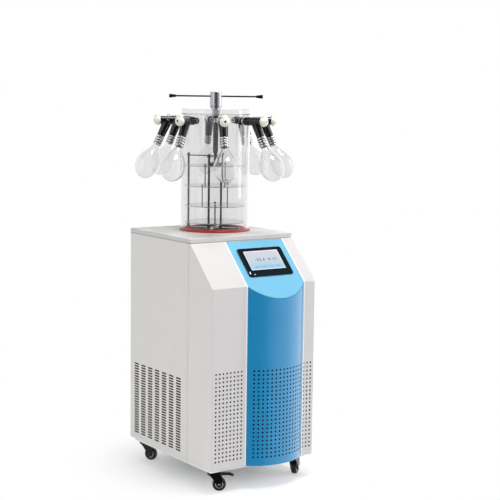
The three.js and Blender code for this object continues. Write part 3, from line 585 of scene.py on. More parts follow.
sleeveMetal = finish("sleeveMetal", "#d9dadb", 0.3, metal, spread=0.06, grain=500, bump=6e-6, uneven=0.1)
galvanised = finish("galvanised", "#a9adb0", 0.4, metal, spread=0.12, patch=60, grain=300, bump=8e-6)
finMetal = finish("finMetal", "#c4c8cc", 0.35, metal, spread=0.06, bump=6e-6)
copper = finish("copper", "#b8734f", 0.28, metal, spread=0.1, patch=40, grain=500, bump=6e-6)
# Painted shade: a near-black finish for the cabinet's inner faces, the walls of its holes and the dark sheets behind
# them, where only shade falls.
insideDark = finish("insideDark", "#08090a", 0.8, shine(0.2), spread=0.1, grain=300, bump=8e-6)
screenWhite = finish("screenWhite", "#eef3f8", 0.3, glow("#eef3f8", 0.35), spread=0.01)
figureRed = finish("figureRed", "#5c1a2b", 0.3, spread=0.02)
ruleWhite = finish("ruleWhite", "#e9eef4", 0.3, glow("#e9eef4", 0.3), spread=0.01)
barBlue = finish("barBlue", "#7ea6bd", 0.3, spread=0.02)
acrylic = clearFinish("acrylic", "#f4f4f4", 1.49, 0.14, haze=0.03, patch=6, bump=8e-6)
glass = clearFinish("glass", "#fafafa", 1.47, 0.5, haze=0.02, patch=14, bump=1e-5)

displaySizes = {"foot": "#82b2c7", "middle": "#a5b4c1", "head": "#b9b5bc", "middleAt": 0.45, "patch": 22.0}


def displayFinish(sizes):
    # A lit display: pale, bluer downwards, with soft patches.
    low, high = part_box("screen_display")
    material, tree, shader = plainFinish("displayGlass", {
        "Roughness": 0.12, "Emission Strength": 0.2, **coat(1.0, 0.03)})
    place = objectPlace(tree)
    height = addNode(tree, "ShaderNodeSeparateXYZ", {0: place}).outputs["Z"]
    patches = noise(tree, place, sizes["patch"], 2.0)
    mixed = maths(tree, "MULTIPLY_ADD", patches, 0.5, ranged(tree, height, (low.z, high.z)))
    ramp = addNode(tree, "ShaderNodeValToRGB", {"Fac": maths(tree, "SUBTRACT", mixed, 0.25)})
    stops = ramp.color_ramp.elements
    stops[0].color, stops[1].color = linear(sizes["foot"]), linear(sizes["head"])
    stops.new(sizes["middleAt"]).color = linear(sizes["middle"])
    for name in ("Base Color", "Emission Color"):
        tree.links.new(ramp.outputs[0], shader.inputs[name])
    return material


displayGlass = displayFinish(displaySizes)


# Camera, light and floor

# Turns are in degrees, and the place is from the foot of the cabinet's front, at its middle.
cameraSizes = {"azimuth": -34.963, "elevation": 6.958, "roll": 0.735, "lens": 92.29,
               "place": (-2.70296, -3.76556, 1.45006), "farthest": 60}


def makeCamera(sizes):
    azimuth, elevation, roll = (math.radians(sizes[name]) for name in ("azimuth", "elevation", "roll"))
    back = Vector((math.sin(azimuth) * math.cos(elevation), -math.cos(azimuth) * math.cos(elevation),
                   math.sin(elevation)))
    level = (-back).cross(upwards).normalized()
    up = level.cross(-back)
    across = level * math.cos(roll) + up * math.sin(roll)
    upright = up * math.cos(roll) - level * math.sin(roll)
    low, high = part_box("front_fascia")
    view = bpy.data.cameras.new("studioCamera")
    view.lens = sizes["lens"]
    view.clip_end = sizes["farthest"]
    camera = bpy.data.objects.new("studioCamera", view)
    place = Vector(((low.x + high.x) / 2, low.y, 0)) + Vector(sizes["place"])
    camera.matrix_world = frameOf(across, upright, back, place)
    scene.collection.objects.link(camera)
    scene.camera = camera


lights = {
    "top": {"place": (0.2, -0.8, 3.6), "size": (1.4, 1.0), "watts": 64},
    "left": {"place": (-3.4, -0.6, 1.9), "size": (1.2, 2.6), "watts": 8.5},
    "right": {"place": (2.9, -1.9, 1.9), "size": (1.0, 2.4), "watts": 26},
}
lightAim = Vector((0, 0, 0.9))


def makeLight(name, sizes):
    # Clear parts and the camera don't see the lamps themselves.
    lamp = bpy.data.lights.new(name + "Softbox", "AREA")
    lamp.shape = "RECTANGLE"
    lamp.size, lamp.size_y = sizes["size"]
    lamp.energy = sizes["watts"]
    made = bpy.data.objects.new(name + "Softbox", lamp)
    made.visible_camera = made.visible_transmission = False
    aim = lightAim - Vector(sizes["place"])
    made.matrix_world = Matrix.Translation(sizes["place"]) @ aim.to_track_quat("-Z", "Y").to_matrix().to_4x4()
    scene.collection.objects.link(made)


# What shiny and clear surfaces see: pale screens all round, as (turn, level), with one dark gap to the left
# of the front, a dimmer ceiling and a dimmer ground. Heights run from -1, straight down, to 1.
roomSizes = {"sky": 0.62, "through": 0.9, "throughLeast": 0.72, "lampsInside": 1.0,
             "ring": ((-180, 1.0), (-78, 1.0), (-54, 0.05), (-20, 0.05), (38, 1.15), (70, 1.6), (120, 1.6), (180, 1.0)),
             "ground": 0.3, "groundFade": (-0.75, -0.25), "ceiling": 0.2, "ceilingFade": (0.55, 0.85)}


def makeWorld(sizes):
    world = bpy.data.worlds.new("studio")
    scene.world = world
    world.use_nodes = True
    tree = world.node_tree
    tree.nodes.clear()
    rays = addNode(tree, "ShaderNodeLightPath").outputs
    way = addNode(tree, "ShaderNodeSeparateXYZ", {
        0: addNode(tree, "ShaderNodeTexCoord").outputs["Generated"]}).outputs
    turn = maths(tree, "ARCTAN2", way["X"], maths(tree, "MULTIPLY", way["Y"], -1.0))
    ramp = addNode(tree, "ShaderNodeValToRGB", {"Fac": ranged(tree, turn, (-math.pi, math.pi))})
    ramp.color_ramp.interpolation = "EASE"
    stops = ramp.color_ramp.elements
    ring = sizes["ring"]
    brightest = max(level for _, level in ring)
    for index, (place, level) in enumerate(ring):
        ends = {0: stops[0], len(ring) - 1: stops[-1]}
        stop = ends[index] if index in ends else stops.new((place + 180) / 360)
        stop.color = (level / brightest,) * 3 + (1,)
    overhead = ranged(tree, way["Z"], sizes["ceilingFade"], brightest, brightest * sizes["ceiling"], "SMOOTHSTEP")
    underfoot = ranged(tree, way["Z"], sizes["groundFade"], sizes["ground"], 1.0, "SMOOTHSTEP")
    screens = maths(tree, "MULTIPLY", maths(tree, "MULTIPLY", ramp.outputs[0], overhead), underfoot)
    shiny = maths(tree, "MAXIMUM", rays["Is Glossy Ray"], rays["Is Transmission Ray"])
    even = maths(tree, "MAXIMUM", maths(tree, "MINIMUM", screens, 1.0), sizes["throughLeast"])
    # what lies behind a clear part gets the lamps' share from here
    lit = maths(tree, "GREATER_THAN", rays["Diffuse Depth"], 0.5)
    inside = maths(tree, "MULTIPLY_ADD", lit, sizes["lampsInside"], 1.0)
    through = maths(tree, "MULTIPLY", maths(tree, "MULTIPLY", even, sizes["through"]), inside)
    veil = result(tree, "ShaderNodeMix", {0: rays["Is Transmission Ray"], 2: screens, 3: through})
    seen = result(tree, "ShaderNodeMix", {0: shiny, 2: sizes["sky"], 3: veil})
    level = result(tree, "ShaderNodeMix", {0: rays["Is Camera Ray"], 2: seen, 3: 1.0})
    sky = result(tree, "ShaderNodeBackground", {"Color": (1, 1, 1, 1), "Strength": level})
    addNode(tree, "ShaderNodeOutputWorld", {"Surface": sky})


floorSizes = {"radius": 6.0, "corners": 96, "tone": 0.96, "fade": (0.05, 0.62)}


def makeFloor(sizes):
    # It fades to white away from the object, keeps the shadow, and leaves the screens to shiny surfaces.
    middle = (frameBox[0] + frameBox[1]) / 2
    points = [(middle.x + x, middle.y + y, 0) for x, y in circle(sizes["radius"], sizes["corners"])]
    floor = meshObject("floor", points, [tuple(range(len(points)))])
    material = bpy.data.materials.new("studioFloor")
    material.use_nodes = True
    tree = material.node_tree
    tree.nodes.clear()
    rays = addNode(tree, "ShaderNodeLightPath").outputs
    away = addNode(tree, "ShaderNodeVectorMath", {0: objectPlace(tree)}, operation="LENGTH").outputs["Value"]
    faded = ranged(tree, away, sizes["fade"], ease="SMOOTHSTEP")
    amount = maths(tree, "MULTIPLY", faded, rays["Is Camera Ray"])
    matt = result(tree, "ShaderNodeBsdfDiffuse", {"Color": (sizes["tone"],) * 3 + (1,)})
    white = result(tree, "ShaderNodeEmission", {"Color": (1, 1, 1, 1), "Strength": 1.0})
    blend = result(tree, "ShaderNodeMixShader", {0: amount, 1: matt, 2: white})
    clear = result(tree, "ShaderNodeBsdfTransparent")
    whole = result(tree, "ShaderNodeMixShader", {0: rays["Is Glossy Ray"], 1: blend, 2: clear})
    addNode(tree, "ShaderNodeOutputMaterial", {"Surface": whole})
    floor.data.materials.append(material)


makeCamera(cameraSizes)
for name, sizes in lights.items():
    makeLight(name, sizes)
makeWorld(roomSizes)
makeFloor(floorSizes)
scene.view_settings.view_transform = "Standard"
scene.cycles.max_bounces = scene.cycles.transmission_bounces = scene.cycles.transparent_max_bounces = 24
print("studio ready")


# Cabinet

fasciaLow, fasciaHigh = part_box("front_fascia")
coverLow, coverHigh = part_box("rear_cover")
bulgeLow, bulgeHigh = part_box("lower_front_panel")
deckLow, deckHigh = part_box("worktop")
lidLow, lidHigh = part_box("chamber_lid")
tubeLow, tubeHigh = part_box("drying_chamber")
frontY, floorZ, wallTop, deckTop = fasciaLow.y, fasciaLow.z, fasciaHigh.z, deckHigh.z

sheetSizes = {"thickness": 0.002, "slopeRise": 0.149, "slopeDepth": 0.150, "bottomFlange": 0.024, "sideFlange": 0.012,
              "chamberWall": 0.009, "trapStep": 0.020}
sheet, slopeRise, slopeDepth, flange = taken(sheetSizes, "thickness slopeRise slopeDepth sideFlange")
slopeFoot, slopeEnd = wallTop - slopeRise, frontY + slopeDepth
slopeAngle = math.atan2(slopeRise, slopeDepth)
bulgeMiddle = (bulgeLow.x + bulgeHigh.x) / 2
ontoSlope = Matrix.Translation((bulgeMiddle, frontY, slopeFoot)) @ Matrix.Rotation(slopeAngle, 4, "X")
chamberAxis = Vector(((lidLow.x + lidHigh.x) / 2, (lidLow.y + lidHigh.y) / 2, deckTop))
chamberRadius = (tubeHigh.x - tubeLow.x) / 2
chamberBore = chamberRadius - sheetSizes["chamberWall"]
trapRadius = chamberBore - sheetSizes["trapStep"]
quarterTurn = [step * math.pi / 10 for step in range(6)]


def bevelWhere(shape, test, width, segments):
    edges = [edge for edge in shape.edges if test(edge.verts[0].co, edge.verts[1].co)]
    bmesh.ops.bevel(
        shape, geom=edges, offset=width, segments=segments, profile=0.5, affect="EDGES", clamp_overlap=True)


def darkenedInside(piece, paint):
    # The faces that look towards the cabinet's middle get the dark finish, painted shade for the cabinet's unlit
    # inside.
    mesh = piece.data
    for material in (paint, insideDark):
        if material.name not in mesh.materials:
            mesh.materials.append(material)
    middle = Vector(((coverLow.x + coverHigh.x) / 2, (fasciaLow.y + coverHigh.y) / 2, 0))
    dark = mesh.materials.find(insideDark.name)
    for face in mesh.polygons:
        outward = face.center - middle
        outward.z = 0
        if face.normal.dot(outward.normalized()) < -0.2:
            face.material_index = dark
    return piece


def paintedSides(piece, paint):
    # The faces that look left or right take this paint, and the rest keeps the darker copy, painted shade on the front.
    mesh = piece.data
    mesh.materials.append(paint)
    dark = mesh.materials.find(insideDark.name)
    for face in mesh.polygons:
        if abs(face.normal.x) > 0.7 and face.material_index != dark:
            face.material_index = len(mesh.materials) - 1
    return piece


def sideProfile(name, outline, left, right):
    # A side outline of (y, z) points, carried across the cabinet.
    return loft(name, [[(x, y, z) for y, z in outline] for x in (left, right)])


def punched(piece, paint, hole, pitch, columns, rows, centre, depth=0.012, bend=0.0, turn=0.0):
    # A field of holes with round ends.
    grown(piece, punchedHoles, Columns=columns, Rows=rows, ColumnPitch=pitch[0], RowPitch=pitch[1], Width=hole[0],
          Height=hole[1], Corner=hole[1] * 0.499, CornerSteps=3, Depth=depth, Bend=bend, Turn=turn, Centre=centre,
          Material=paint, Inside=insideDark)


fasciaSizes = {"foldRadius": 0.0022, "cornerRadius": 0.0055, "windowEdge": 0.0123, "hole": (0.0072, 0.0072),
               "pitch": (0.016, 0.0154), "rows": 22, "leftColumns": 8, "rightColumns": 3, "leftCentre": 0.0745,
               "rightCentre": 0.0305, "fieldMiddle": 0.1955}


def makeFascia(sizes):
    outline = [(frontY, floorZ), (frontY, slopeFoot), (slopeEnd, wallTop), (fasciaHigh.y, wallTop),
               (fasciaHigh.y, floorZ)]
    solid = sideProfile("solid", outline, fasciaLow.x, fasciaHigh.x)
    shape = bmesh.new()
    shape.from_mesh(solid.data)
    bpy.data.objects.remove(solid)
    inFront = fasciaHigh.y - 1e-4
    middle, reach = (fasciaLow.x + fasciaHigh.x) / 2, (fasciaHigh.x - fasciaLow.x) / 2 - 1e-5
    bevelWhere(shape, lambda a, b: abs(a.x - b.x) > 0.1 and a.y < inFront, sizes["foldRadius"], 4)
    bevelWhere(shape, lambda a, b: abs(a.x - b.x) < 1e-6 and abs(a.x - middle) > reach and min(a.y, b.y) < inFront,
               sizes["cornerRadius"], 6)
    back = [face for face in shape.faces if all(vert.co.y > inFront for vert in face.verts)]
    bmesh.ops.delete(shape, geom=back, context="FACES")
    fascia = thickened(fromBmesh("front_fascia_finished", shape), sheet)
    floorCut = block("floorCut", (fasciaLow.x + flange, frontY + sheetSizes["bottomFlange"], floorZ - past),
                     (fasciaHigh.x - flange, fasciaHigh.y + past, floorZ + 3 * sheet))
    edge = sizes["windowEdge"]
    window = sideProfile("window", [
        (frontY - past, floorZ - past), (frontY + edge, floorZ - past), (frontY + edge, slopeFoot),
        (slopeEnd, wallTop - sheet - edge), (slopeEnd, wallTop - sheet), (frontY - 3 * past, wallTop - sheet),
        (frontY - 3 * past, slopeFoot)], bulgeLow.x - gap, bulgeHigh.x + gap)
    combined(fascia, [floorCut, window])
    for x, columns in ((fasciaLow.x + sizes["leftCentre"], sizes["leftColumns"]),
                       (fasciaHigh.x - sizes["rightCentre"], sizes["rightColumns"])):
        punched(fascia, wingPaint, sizes["hole"], sizes["pitch"], columns, sizes["rows"],
                (x, frontY, floorZ + sizes["fieldMiddle"]))
    finished(paintedSides(darkenedInside(fascia, wingPaint), bodyPaint))


edgingSizes = {"width": 0.0054, "proud": 0.0009, "radius": 0.0008, "sink": 0.0002, "low": 0.003, "top": 0.002}


def makeEdging(sizes):
    # A pale moulding down each side of the blue panels, over the slope and the upright front. Its paler paint is partly
    # a painted highlight.
    normals = [Vector((0, -1, 0)), Vector((0, -math.sin(slopeAngle), math.cos(slopeAngle)))]
    mitre = (normals[0] + normals[1]).normalized() / math.cos(normals[0].angle(normals[1]) / 2)
    stations = [(Vector((0, frontY, floorZ + sizes["low"])), normals[0]), (Vector((0, frontY, slopeFoot)), mitre),
                (Vector((0, slopeEnd - sizes["top"], wallTop - sizes["top"])), normals[1])]
    proud, radius, sink = taken(sizes, "proud radius sink")
    half = sizes["width"] / 2
    section = rounded([(-half, -sink, 0), (half, -sink, 0), (half, proud, radius), (-half, proud, radius)])
    for side, x in (("left", bulgeLow.x - gap - half), ("right", bulgeHigh.x + gap + half)):
        loops = [[place + normal * out + Vector((x + across, 0, 0)) for across, out in section]
                 for place, normal in stations]
        finished(loft("panel_edging_" + side, loops), edgePaint)


coverSizes = {"seam": 0.0009, "cornerRadius": 0.006, "foldRadius": 0.002, "slot": (0.034, 0.0057), "columns": 7,
              "rows": 28, "pitch": (0.0517, 0.01015), "fieldBack": 0.2086, "fieldMiddle": 0.167, "backColumns": 6,
              "backRows": 22, "backPitch": (0.046, 0.01015), "backMiddle": 0.30, "port": 0.0206, "portDrop": 0.222}


def makeRearCover(sizes):
    low, high = coverLow, coverHigh

    def plan(inset):
        # Both sides and the back, seen from above, moved inwards.
        arc = max(sizes["cornerRadius"] - inset, 1e-5)
        left, right, back = low.x + inset, high.x - inset, high.y - inset
        path = [(left, low.y + sizes["seam"])]
        for x, start in ((left + arc, math.pi), (right - arc, math.pi / 2)):
            path += [(x + arc * math.cos(start - step * math.pi / 12),
                      back - arc + arc * math.sin(start - step * math.pi / 12)) for step in range(7)]
        return path + [(right, low.y + sizes["seam"])]

    fold = sizes["foldRadius"]
    section = rounded([(flange, low.z, 0), (0, low.z, fold), (0, high.z, fold), (flange, high.z, 0),
                       (flange, high.z - sheet, 0), (sheet, high.z - sheet, 0), (sheet, low.z + sheet, 0),
                       (flange, low.z + sheet, 0)])
    rings = [[(x, y, z) for x, y in plan(inset)] for inset, z in section]
    cover = loft("rear_cover_finished", list(zip(*rings)))
    port = Vector((chamberAxis.x, high.y, deckTop - sizes["portDrop"]))
    through = Vector((0, 2 * past, 0))
    combined(cover, [tube("port", sizes["port"], port - through, port + through, 48)])
    middle = (low.x + high.x) / 2
    punched(cover, bodyPaint, sizes["slot"], sizes["pitch"], sizes["columns"], sizes["rows"],
            (middle, high.y - sizes["fieldBack"], low.z + sizes["fieldMiddle"]), high.x - low.x + 2 * past, 0.0,
            math.pi / 2)
    punched(cover, bodyPaint, sizes["slot"], sizes["backPitch"], sizes["backColumns"], sizes["backRows"],
            (middle, high.y, low.z + sizes["backMiddle"]))
    finished(darkenedInside(cover, bodyPaint))


bulgeSizes = {"returnDepth": 0.012, "edgeRadius": 0.0012, "steps": 48, "hole": (0.0072, 0.0072), "columns": 14,
              "rows": 22, "pitch": (0.017, 0.0154), "fieldMiddle": 0.195}
bulgeHalf = (bulgeHigh.x - bulgeLow.x) / 2 + gap
bulgeRise = frontY - bulgeLow.y
bulgeRadius = (bulgeHalf ** 2 + bulgeRise ** 2) / (2 * bulgeRise)


def bulgeCurve(inset, steps):
    reach = bulgeRadius - inset
    sweep = math.asin((bulgeHalf - gap - inset) / reach)
    turns = [sweep * (2 * step / steps - 1) for step in range(steps + 1)]
    return [(reach * math.sin(turn), bulgeRadius - bulgeRise - reach * math.cos(turn)) for turn in turns]


def makeBulge(sizes):
    place = Matrix.Translation((bulgeMiddle, frontY, 0))
    depth = sizes["returnDepth"]
    top = slopeFoot + 2 * depth

    def outline(inset, back):
        curve = bulgeCurve(inset, sizes["steps"])
        return curve + [(curve[-1][0], back), (curve[0][0], back)]

    panel = prism("lower_front_panel_finished", outline(0, depth), floorZ, top, place)
    bevelled(panel, sizes["edgeRadius"], 3, 40)
    inner = prism("inner", outline(sheet, depth + past), floorZ + sheet, top + past, place)
    above = prism("above", [(-0.3, -0.3), (0.3, -0.3), (0.3, 0.3), (-0.3, 0.3)], -sheet - gap, 0.4, ontoSlope)
    combined(panel, [inner, above])
    punched(panel, bluePaint, sizes["hole"], sizes["pitch"], sizes["columns"], sizes["rows"],
            (bulgeMiddle, bulgeLow.y, floorZ + sizes["fieldMiddle"]), bend=1 / bulgeRadius)
    finished(darkenedInside(panel, bluePaint))


# The screen's places are up the slope from its foot.
screenSizes = {"low": 0.039, "width": 0.200, "height": 0.131, "lowRim": 0.028, "corner": 0.010, "thickness": 0.004,
               "edge": 0.0014, "inset": 0.008, "depth": 0.030, "windowWidth": 0.155, "windowHeight": 0.089,
               "windowCorner": 0.0012, "recess": 0.003, "panelEdge": 0.0006}
markSizes = {  # place from the bezel's lower left corner, width, height and look
    "screen_lamp": (0.0085, 0.017, 0.0036, 0.011, screenWhite),
    "screen_socket_cover": (0.0265, 0.0085, 0.0075, 0.0044, paleRing),
}
screenMiddle = screenSizes["low"] + screenSizes["height"] / 2
windowMiddle = screenSizes["low"] + screenSizes["lowRim"] + screenSizes["windowHeight"] / 2


def framed(wide, tall, radius, height, middle, steps=6):
    return [(x, y, height) for x, y in roundedRectangle(wide, tall, radius, steps, (0, middle))]


def makeControlPanel(sizes):
    slopeLength = math.hypot(slopeRise, slopeDepth)
    top = slopeLength - (sheet + 2 * gap) / math.sin(slopeAngle)
    lower = [(x, y / math.cos(slopeAngle)) for x, y in bulgeCurve(0, bulgeSizes["steps"])]
    outline = lower + [(lower[-1][0], top), (lower[0][0], top)]
    panel = bevelled(prism("control_panel_finished", outline, -sheet, 0, ontoSlope), sizes["panelEdge"], 3, 40)
    inset = 2 * (sizes["inset"] - gap)
    window = roundedRectangle(sizes["width"] - inset, sizes["height"] - inset, sizes["corner"], 6, (0, screenMiddle))
    combined(panel, [prism("window", window, -past, past, ontoSlope)])
    finished(panel, skyPaint)


def makeScreen(sizes):
    width, height, edge, corner, inset, recess = taken(sizes, "width height edge corner inset recess")
    wide, tall, windowCorner = taken(sizes, "windowWidth windowHeight windowCorner")
    face = gap + sizes["thickness"]

    def level(shrink, at, radius):
        return framed(width - 2 * shrink, height - 2 * shrink, radius, at, screenMiddle)

    def pocket(at, grow=0.0):
        return framed(wide + grow, tall + grow, windowCorner + grow / 2, at, windowMiddle)

    crown = [(edge * (1 - math.cos(turn)), face - edge * (1 - math.sin(turn))) for turn in quarterTurn]
    loops = [level(inset, -sizes["depth"], corner), level(inset, gap, corner), level(0, gap, corner)]
    loops += [level(shrink, at, corner - shrink) for shrink, at in crown]
    loops += [pocket(face, 0.0008), pocket(face - 0.0004), pocket(face - recess)]
    finished(moved(loft("screen_bezel_finished", loops), ontoSlope), bezelPlastic)
    pane = roundedRectangle(wide - 2 * gap, tall - 2 * gap, 0.001, 4, (0, windowMiddle))
    surface = face - gap
    finished(prism("screen_display_finished", pane, face - recess + gap, surface, ontoSlope), displayGlass)
    for name, (right, up, across, along, look) in markSizes.items():
        outline = roundedRectangle(across, along, 0.0015, 4, (right - width / 2, sizes["low"] + up))
        mark = prism(name, outline, face - 0.0002, face + 0.0002, ontoSlope)
        finished(bevelled(mark, 0.0001, 2), look)
    makeReadout(readoutSizes, wide, tall, surface)


readoutSizes = {"figures": "-52.4  0.12", "height": 0.0165, "spacing": 1.3, "weight": 0.0003, "thickness": 0.00008,
                "place": (0.006, 0.002), "margin": 0.004, "rule": 0.0022, "bars": 4, "barStart": (-0.045, -0.030),
                "barStep": 0.030, "barWidth": 0.022, "barHeight": 0.007}


def makeReadout(sizes, wide, tall, surface):
    # Plain figures, a rule and bars drawn on the display.
    thickness, margin, rule = taken(sizes, "thickness margin rule")
    curve = bpy.data.curves.new("readout_figures", "FONT")
    curve.body, curve.size, curve.space_character, curve.offset = taken(sizes, "figures height spacing weight")
    curve.align_x = curve.align_y = "CENTER"
    curve.extrude = thickness / 2
    words = bpy.data.objects.new("readout_figures", curve)
    scene.collection.objects.link(words)
    figures = fromMesh("readout_figures", evaluated(words))
    bpy.data.objects.remove(words)
    right, up = sizes["place"]
    moved(figures, ontoSlope @ Matrix.Translation((right, windowMiddle + up, surface + thickness / 2)))
    finished(welded(figures), figureRed, weighted=False)
    wide, tall = wide - margin, tall - margin
    loops = [framed(wide - less, tall - less, corner, surface + thickness * raised, windowMiddle, 2)
             for less, corner, raised in ((0, 0.001, 0), (0, 0.001, 1), (rule, 0.0006, 1), (rule, 0.0006, 0))]
    finished(moved(loft("readout_frame", loops, ring=True), ontoSlope), ruleWhite)
    left, down = sizes["barStart"]
    bars = grown(
        meshObject("readout_bars", []), rowOfPlates, Count=sizes["bars"], Step=(sizes["barStep"], 0, 0),
        Start=(left, windowMiddle + down, surface + thickness / 2),
        Size=(sizes["barWidth"], sizes["barHeight"], thickness), Material=barBlue)
    finished(moved(bars, ontoSlope), angle=None)


deckSizes = {"edge": 0.0022, "corner": 0.004, "lift": 0.0011, "holeRoom": 0.003, "sealInset": 0.0024, "sealWidth": 0.006,
             "sealFoot": 0.0002, "sealTop": 0.003}


def makeWorktop(sizes):
    low, high, edge = deckLow, deckHigh, sizes["edge"]
    middle = ((low.x + high.x) / 2, (low.y + high.y) / 2)

    def level(inset, height):
        outline = roundedRectangle(high.x - low.x - 2 * inset, high.y - low.y - 2 * inset,
                                   max(sizes["corner"] - inset, 0.0006), 6, middle)
        return [(x, y, height) for x, y in outline]

    foot = low.z + sizes["lift"]
    loops = [level(sheet, high.z - sheet), level(sheet, foot), level(0, foot)]
    loops += [level(edge * (1 - math.cos(turn)), high.z - edge * (1 - math.sin(turn))) for turn in quarterTurn]
    tray = loft("worktop_finished", loops)
    combined(tray, [tube("hole", trapRadius + sizes["holeRoom"], chamberAxis - 3 * past * upwards,
                         chamberAxis + past * upwards, 96)])
    finished(tray, deckPaint)
    # A black strip under the worktop's edge: painted shade for the shadow gap below the worktop.
    inset, width, foot, top = taken(sizes, "sealInset sealWidth sealFoot sealTop")
    shadeStrip = [level(inset, low.z - foot), level(inset, low.z + top), level(inset + width, low.z + top),
            level(inset + width, low.z - foot)]
    finished(loft("worktop_seal", shadeStrip, ring=True), blackRubber)


holeShadeSizes = {"thickness": 0.003, "behind": 0.0058, "side": 0.001, "low": 0.008, "high": 0.385, "sideFrom": 0.02,
               "sideTo": 0.40, "backLow": 0.17, "backHigh": 0.43}


def makeHoleShade(sizes):
    # Dark sheets behind the perforated sheets, painted shade seen through the holes.
    near, far, side = sizes["behind"], sizes["behind"] + sizes["thickness"], flange + sizes["side"]
    low, high = floorZ + sizes["low"], floorZ + sizes["high"]
    sheets = [
        block("sheet", (fasciaLow.x + side, frontY + near, low), (fasciaHigh.x - side, frontY + far, high)),
        block("sheet", (coverLow.x + side, coverHigh.y - far, floorZ + sizes["backLow"]),
              (coverHigh.x - side, coverHigh.y - near, floorZ + sizes["backHigh"]))]
    for left, right in ((coverLow.x + near, coverLow.x + far), (coverHigh.x - far, coverHigh.x - near)):
        near, far = coverHigh.y - sizes["sideTo"], coverHigh.y - sizes["sideFrom"]
        sheets.append(block("sheet", (left, near, low), (right, far, high)))
    finished(joined("filter_foam", sheets), insideDark)


panelScrews = {"radius": 0.0036, "height": 0.0018, "slot": 0.0009, "inset": 0.014, "fromEnds": 0.03, "upright": 5}


def makeScrews(sizes):
    # The cover's screws, up both edges of the back and along its foot.
    inset, ends, upright = taken(sizes, "inset fromEnds upright")
    rise = coverHigh.z - coverLow.z - 2 * ends
    heights = [coverLow.z + ends + step * rise / (upright - 1) for step in range(upright)]
    sides = (coverLow.x + inset, coverHigh.x - inset)
    back = coverHigh.y - 0.0001
    points = [(x, back, z) for x in sides for z in heights] + [((sides[0] + sides[1]) / 2, back, heights[0])]
    heads = grown(meshObject("cover_screws", points), screwHeads, Radius=sizes["radius"], Height=sizes["height"],
                  Slot=sizes["slot"], Facing=(-math.pi / 2, 0, 0), Material=steel)
    finished(heads, weighted=False)


makeFascia(fasciaSizes)
makeEdging(edgingSizes)
makeRearCover(coverSizes)
makeBulge(bulgeSizes)
makeControlPanel(screenSizes)
makeScreen(screenSizes)
makeWorktop(deckSizes)
# The base pan takes the brighter white, painted light against the shade under the cabinet.
finished(refined("base_pan", 0.0012), edgePaint)
makeHoleShade(holeShadeSizes)
makeScrews(panelScrews)
print("cabinet made")


# Chamber, lid and gasket. Heights are above the worktop and radii are from the chamber's axis.

onDeck = Matrix.Translation(chamberAxis)
alongX = Matrix(((0, 0, 1, 0), (1, 0, 0, 0), (0, 1, 0, 0), (0, 0, 0, 1)))  # a lathe's Z becomes X


def polar(radius, turn):
    # Turns are from the front, positive towards +X.
    angle = math.radians(turn)
    return Vector((radius * math.sin(angle), -radius * math.cos(angle), 0))


def bezier(a, b, c, d, steps):
    shares = [step / steps for step in range(steps + 1)]
    return [tuple((1 - t) ** 3 * p + 3 * (1 - t) ** 2 * t * q + 3 * (1 - t) * t * t * r + t ** 3 * s
                  for p, q, r, s in zip(a, b, c, d)) for t in shares]


valveFrames = {}
for name in sorted(joints):
    if name.startswith("valve_"):
        out = Vector(joints[name]["axis"])
        valveFrames[name.split("_")[1]] = frameOf(out, upwards.cross(out), upwards, joints[name]["pos_m"])

gasketSizes = {"innerRoom": 0.002, "outerRoom": 0.005, "height": 0.007, "step": 0.0223, "seat": 0.0026, "groove": 0.0008,
               "grooveEdges": (0.0003, 0.0009, 0.0016)}


def makeGasket(sizes):
    top, seat = sizes["height"], sizes["seat"]
    inner, step = trapRadius + sizes["innerRoom"], trapRadius + sizes["step"]
    outer = chamberRadius + sizes["outerRoom"]
    near, middle, far = (chamberRadius + edge for edge in sizes["grooveEdges"])
    section = rounded([(step, gap, 0), (outer, gap, 0.001), (outer, top, 0.0024), (far, top, 0.0004),
                       (middle, top - sizes["groove"], 0.0003), (near, top, 0.0003), (inner, top, 0.002),
                       (inner, seat, 0.0006), (step, seat, 0)], 5)
    finished(lathe("gasket_finished", section, 128, onDeck), redRubber)


chamberSizes = {"foot": 0.0073, "top": 0.4477, "height": 0.448, "lid": 0.020, "spigot": 0.004, "edge": 0.0012,
                "lidEdge": 0.002, "holeEdge": 0.0005, "port": 0.0095}


def makeChamber(sizes):
    edge, inner, outer = sizes["edge"], chamberBore, chamberRadius
    chamber = collar("drying_chamber_finished", inner, outer, sizes["foot"], sizes["top"], 144, onDeck, edge)
    ports = [rod("port", sizes["port"], inner - past, outer + past, 32, place @ alongX)
             for place in valveFrames.values()]
    combined(chamber, [joined("ports", ports)])
    finished(chamber, acrylic)
    low, top, step = sizes["height"], sizes["height"] + sizes["lid"], sizes["height"] - sizes["spigot"]
    hole, spigot, ease = glandSizes["radius"] + gap, inner - 2 * gap, sizes["holeEdge"]
    disc = rounded([(hole, step, ease), (spigot, step, edge), (spigot, low, 0), (outer, low, edge),
                    (outer, top, sizes["lidEdge"]), (hole, top, ease)])
    finished(lathe("chamber_lid_finished", disc, 144, onDeck), acrylic)


glandSizes = {"radius": 0.0155, "drop": 0.007, "nut": 0.011, "nutHeight": 0.0095, "flange": 0.019,
              "flangeThickness": 0.0024, "bore": 0.0046, "ribs": 4, "ribDepth": 0.0022, "ribHalf": 0.22,
              "grooveHalf": 0.12}


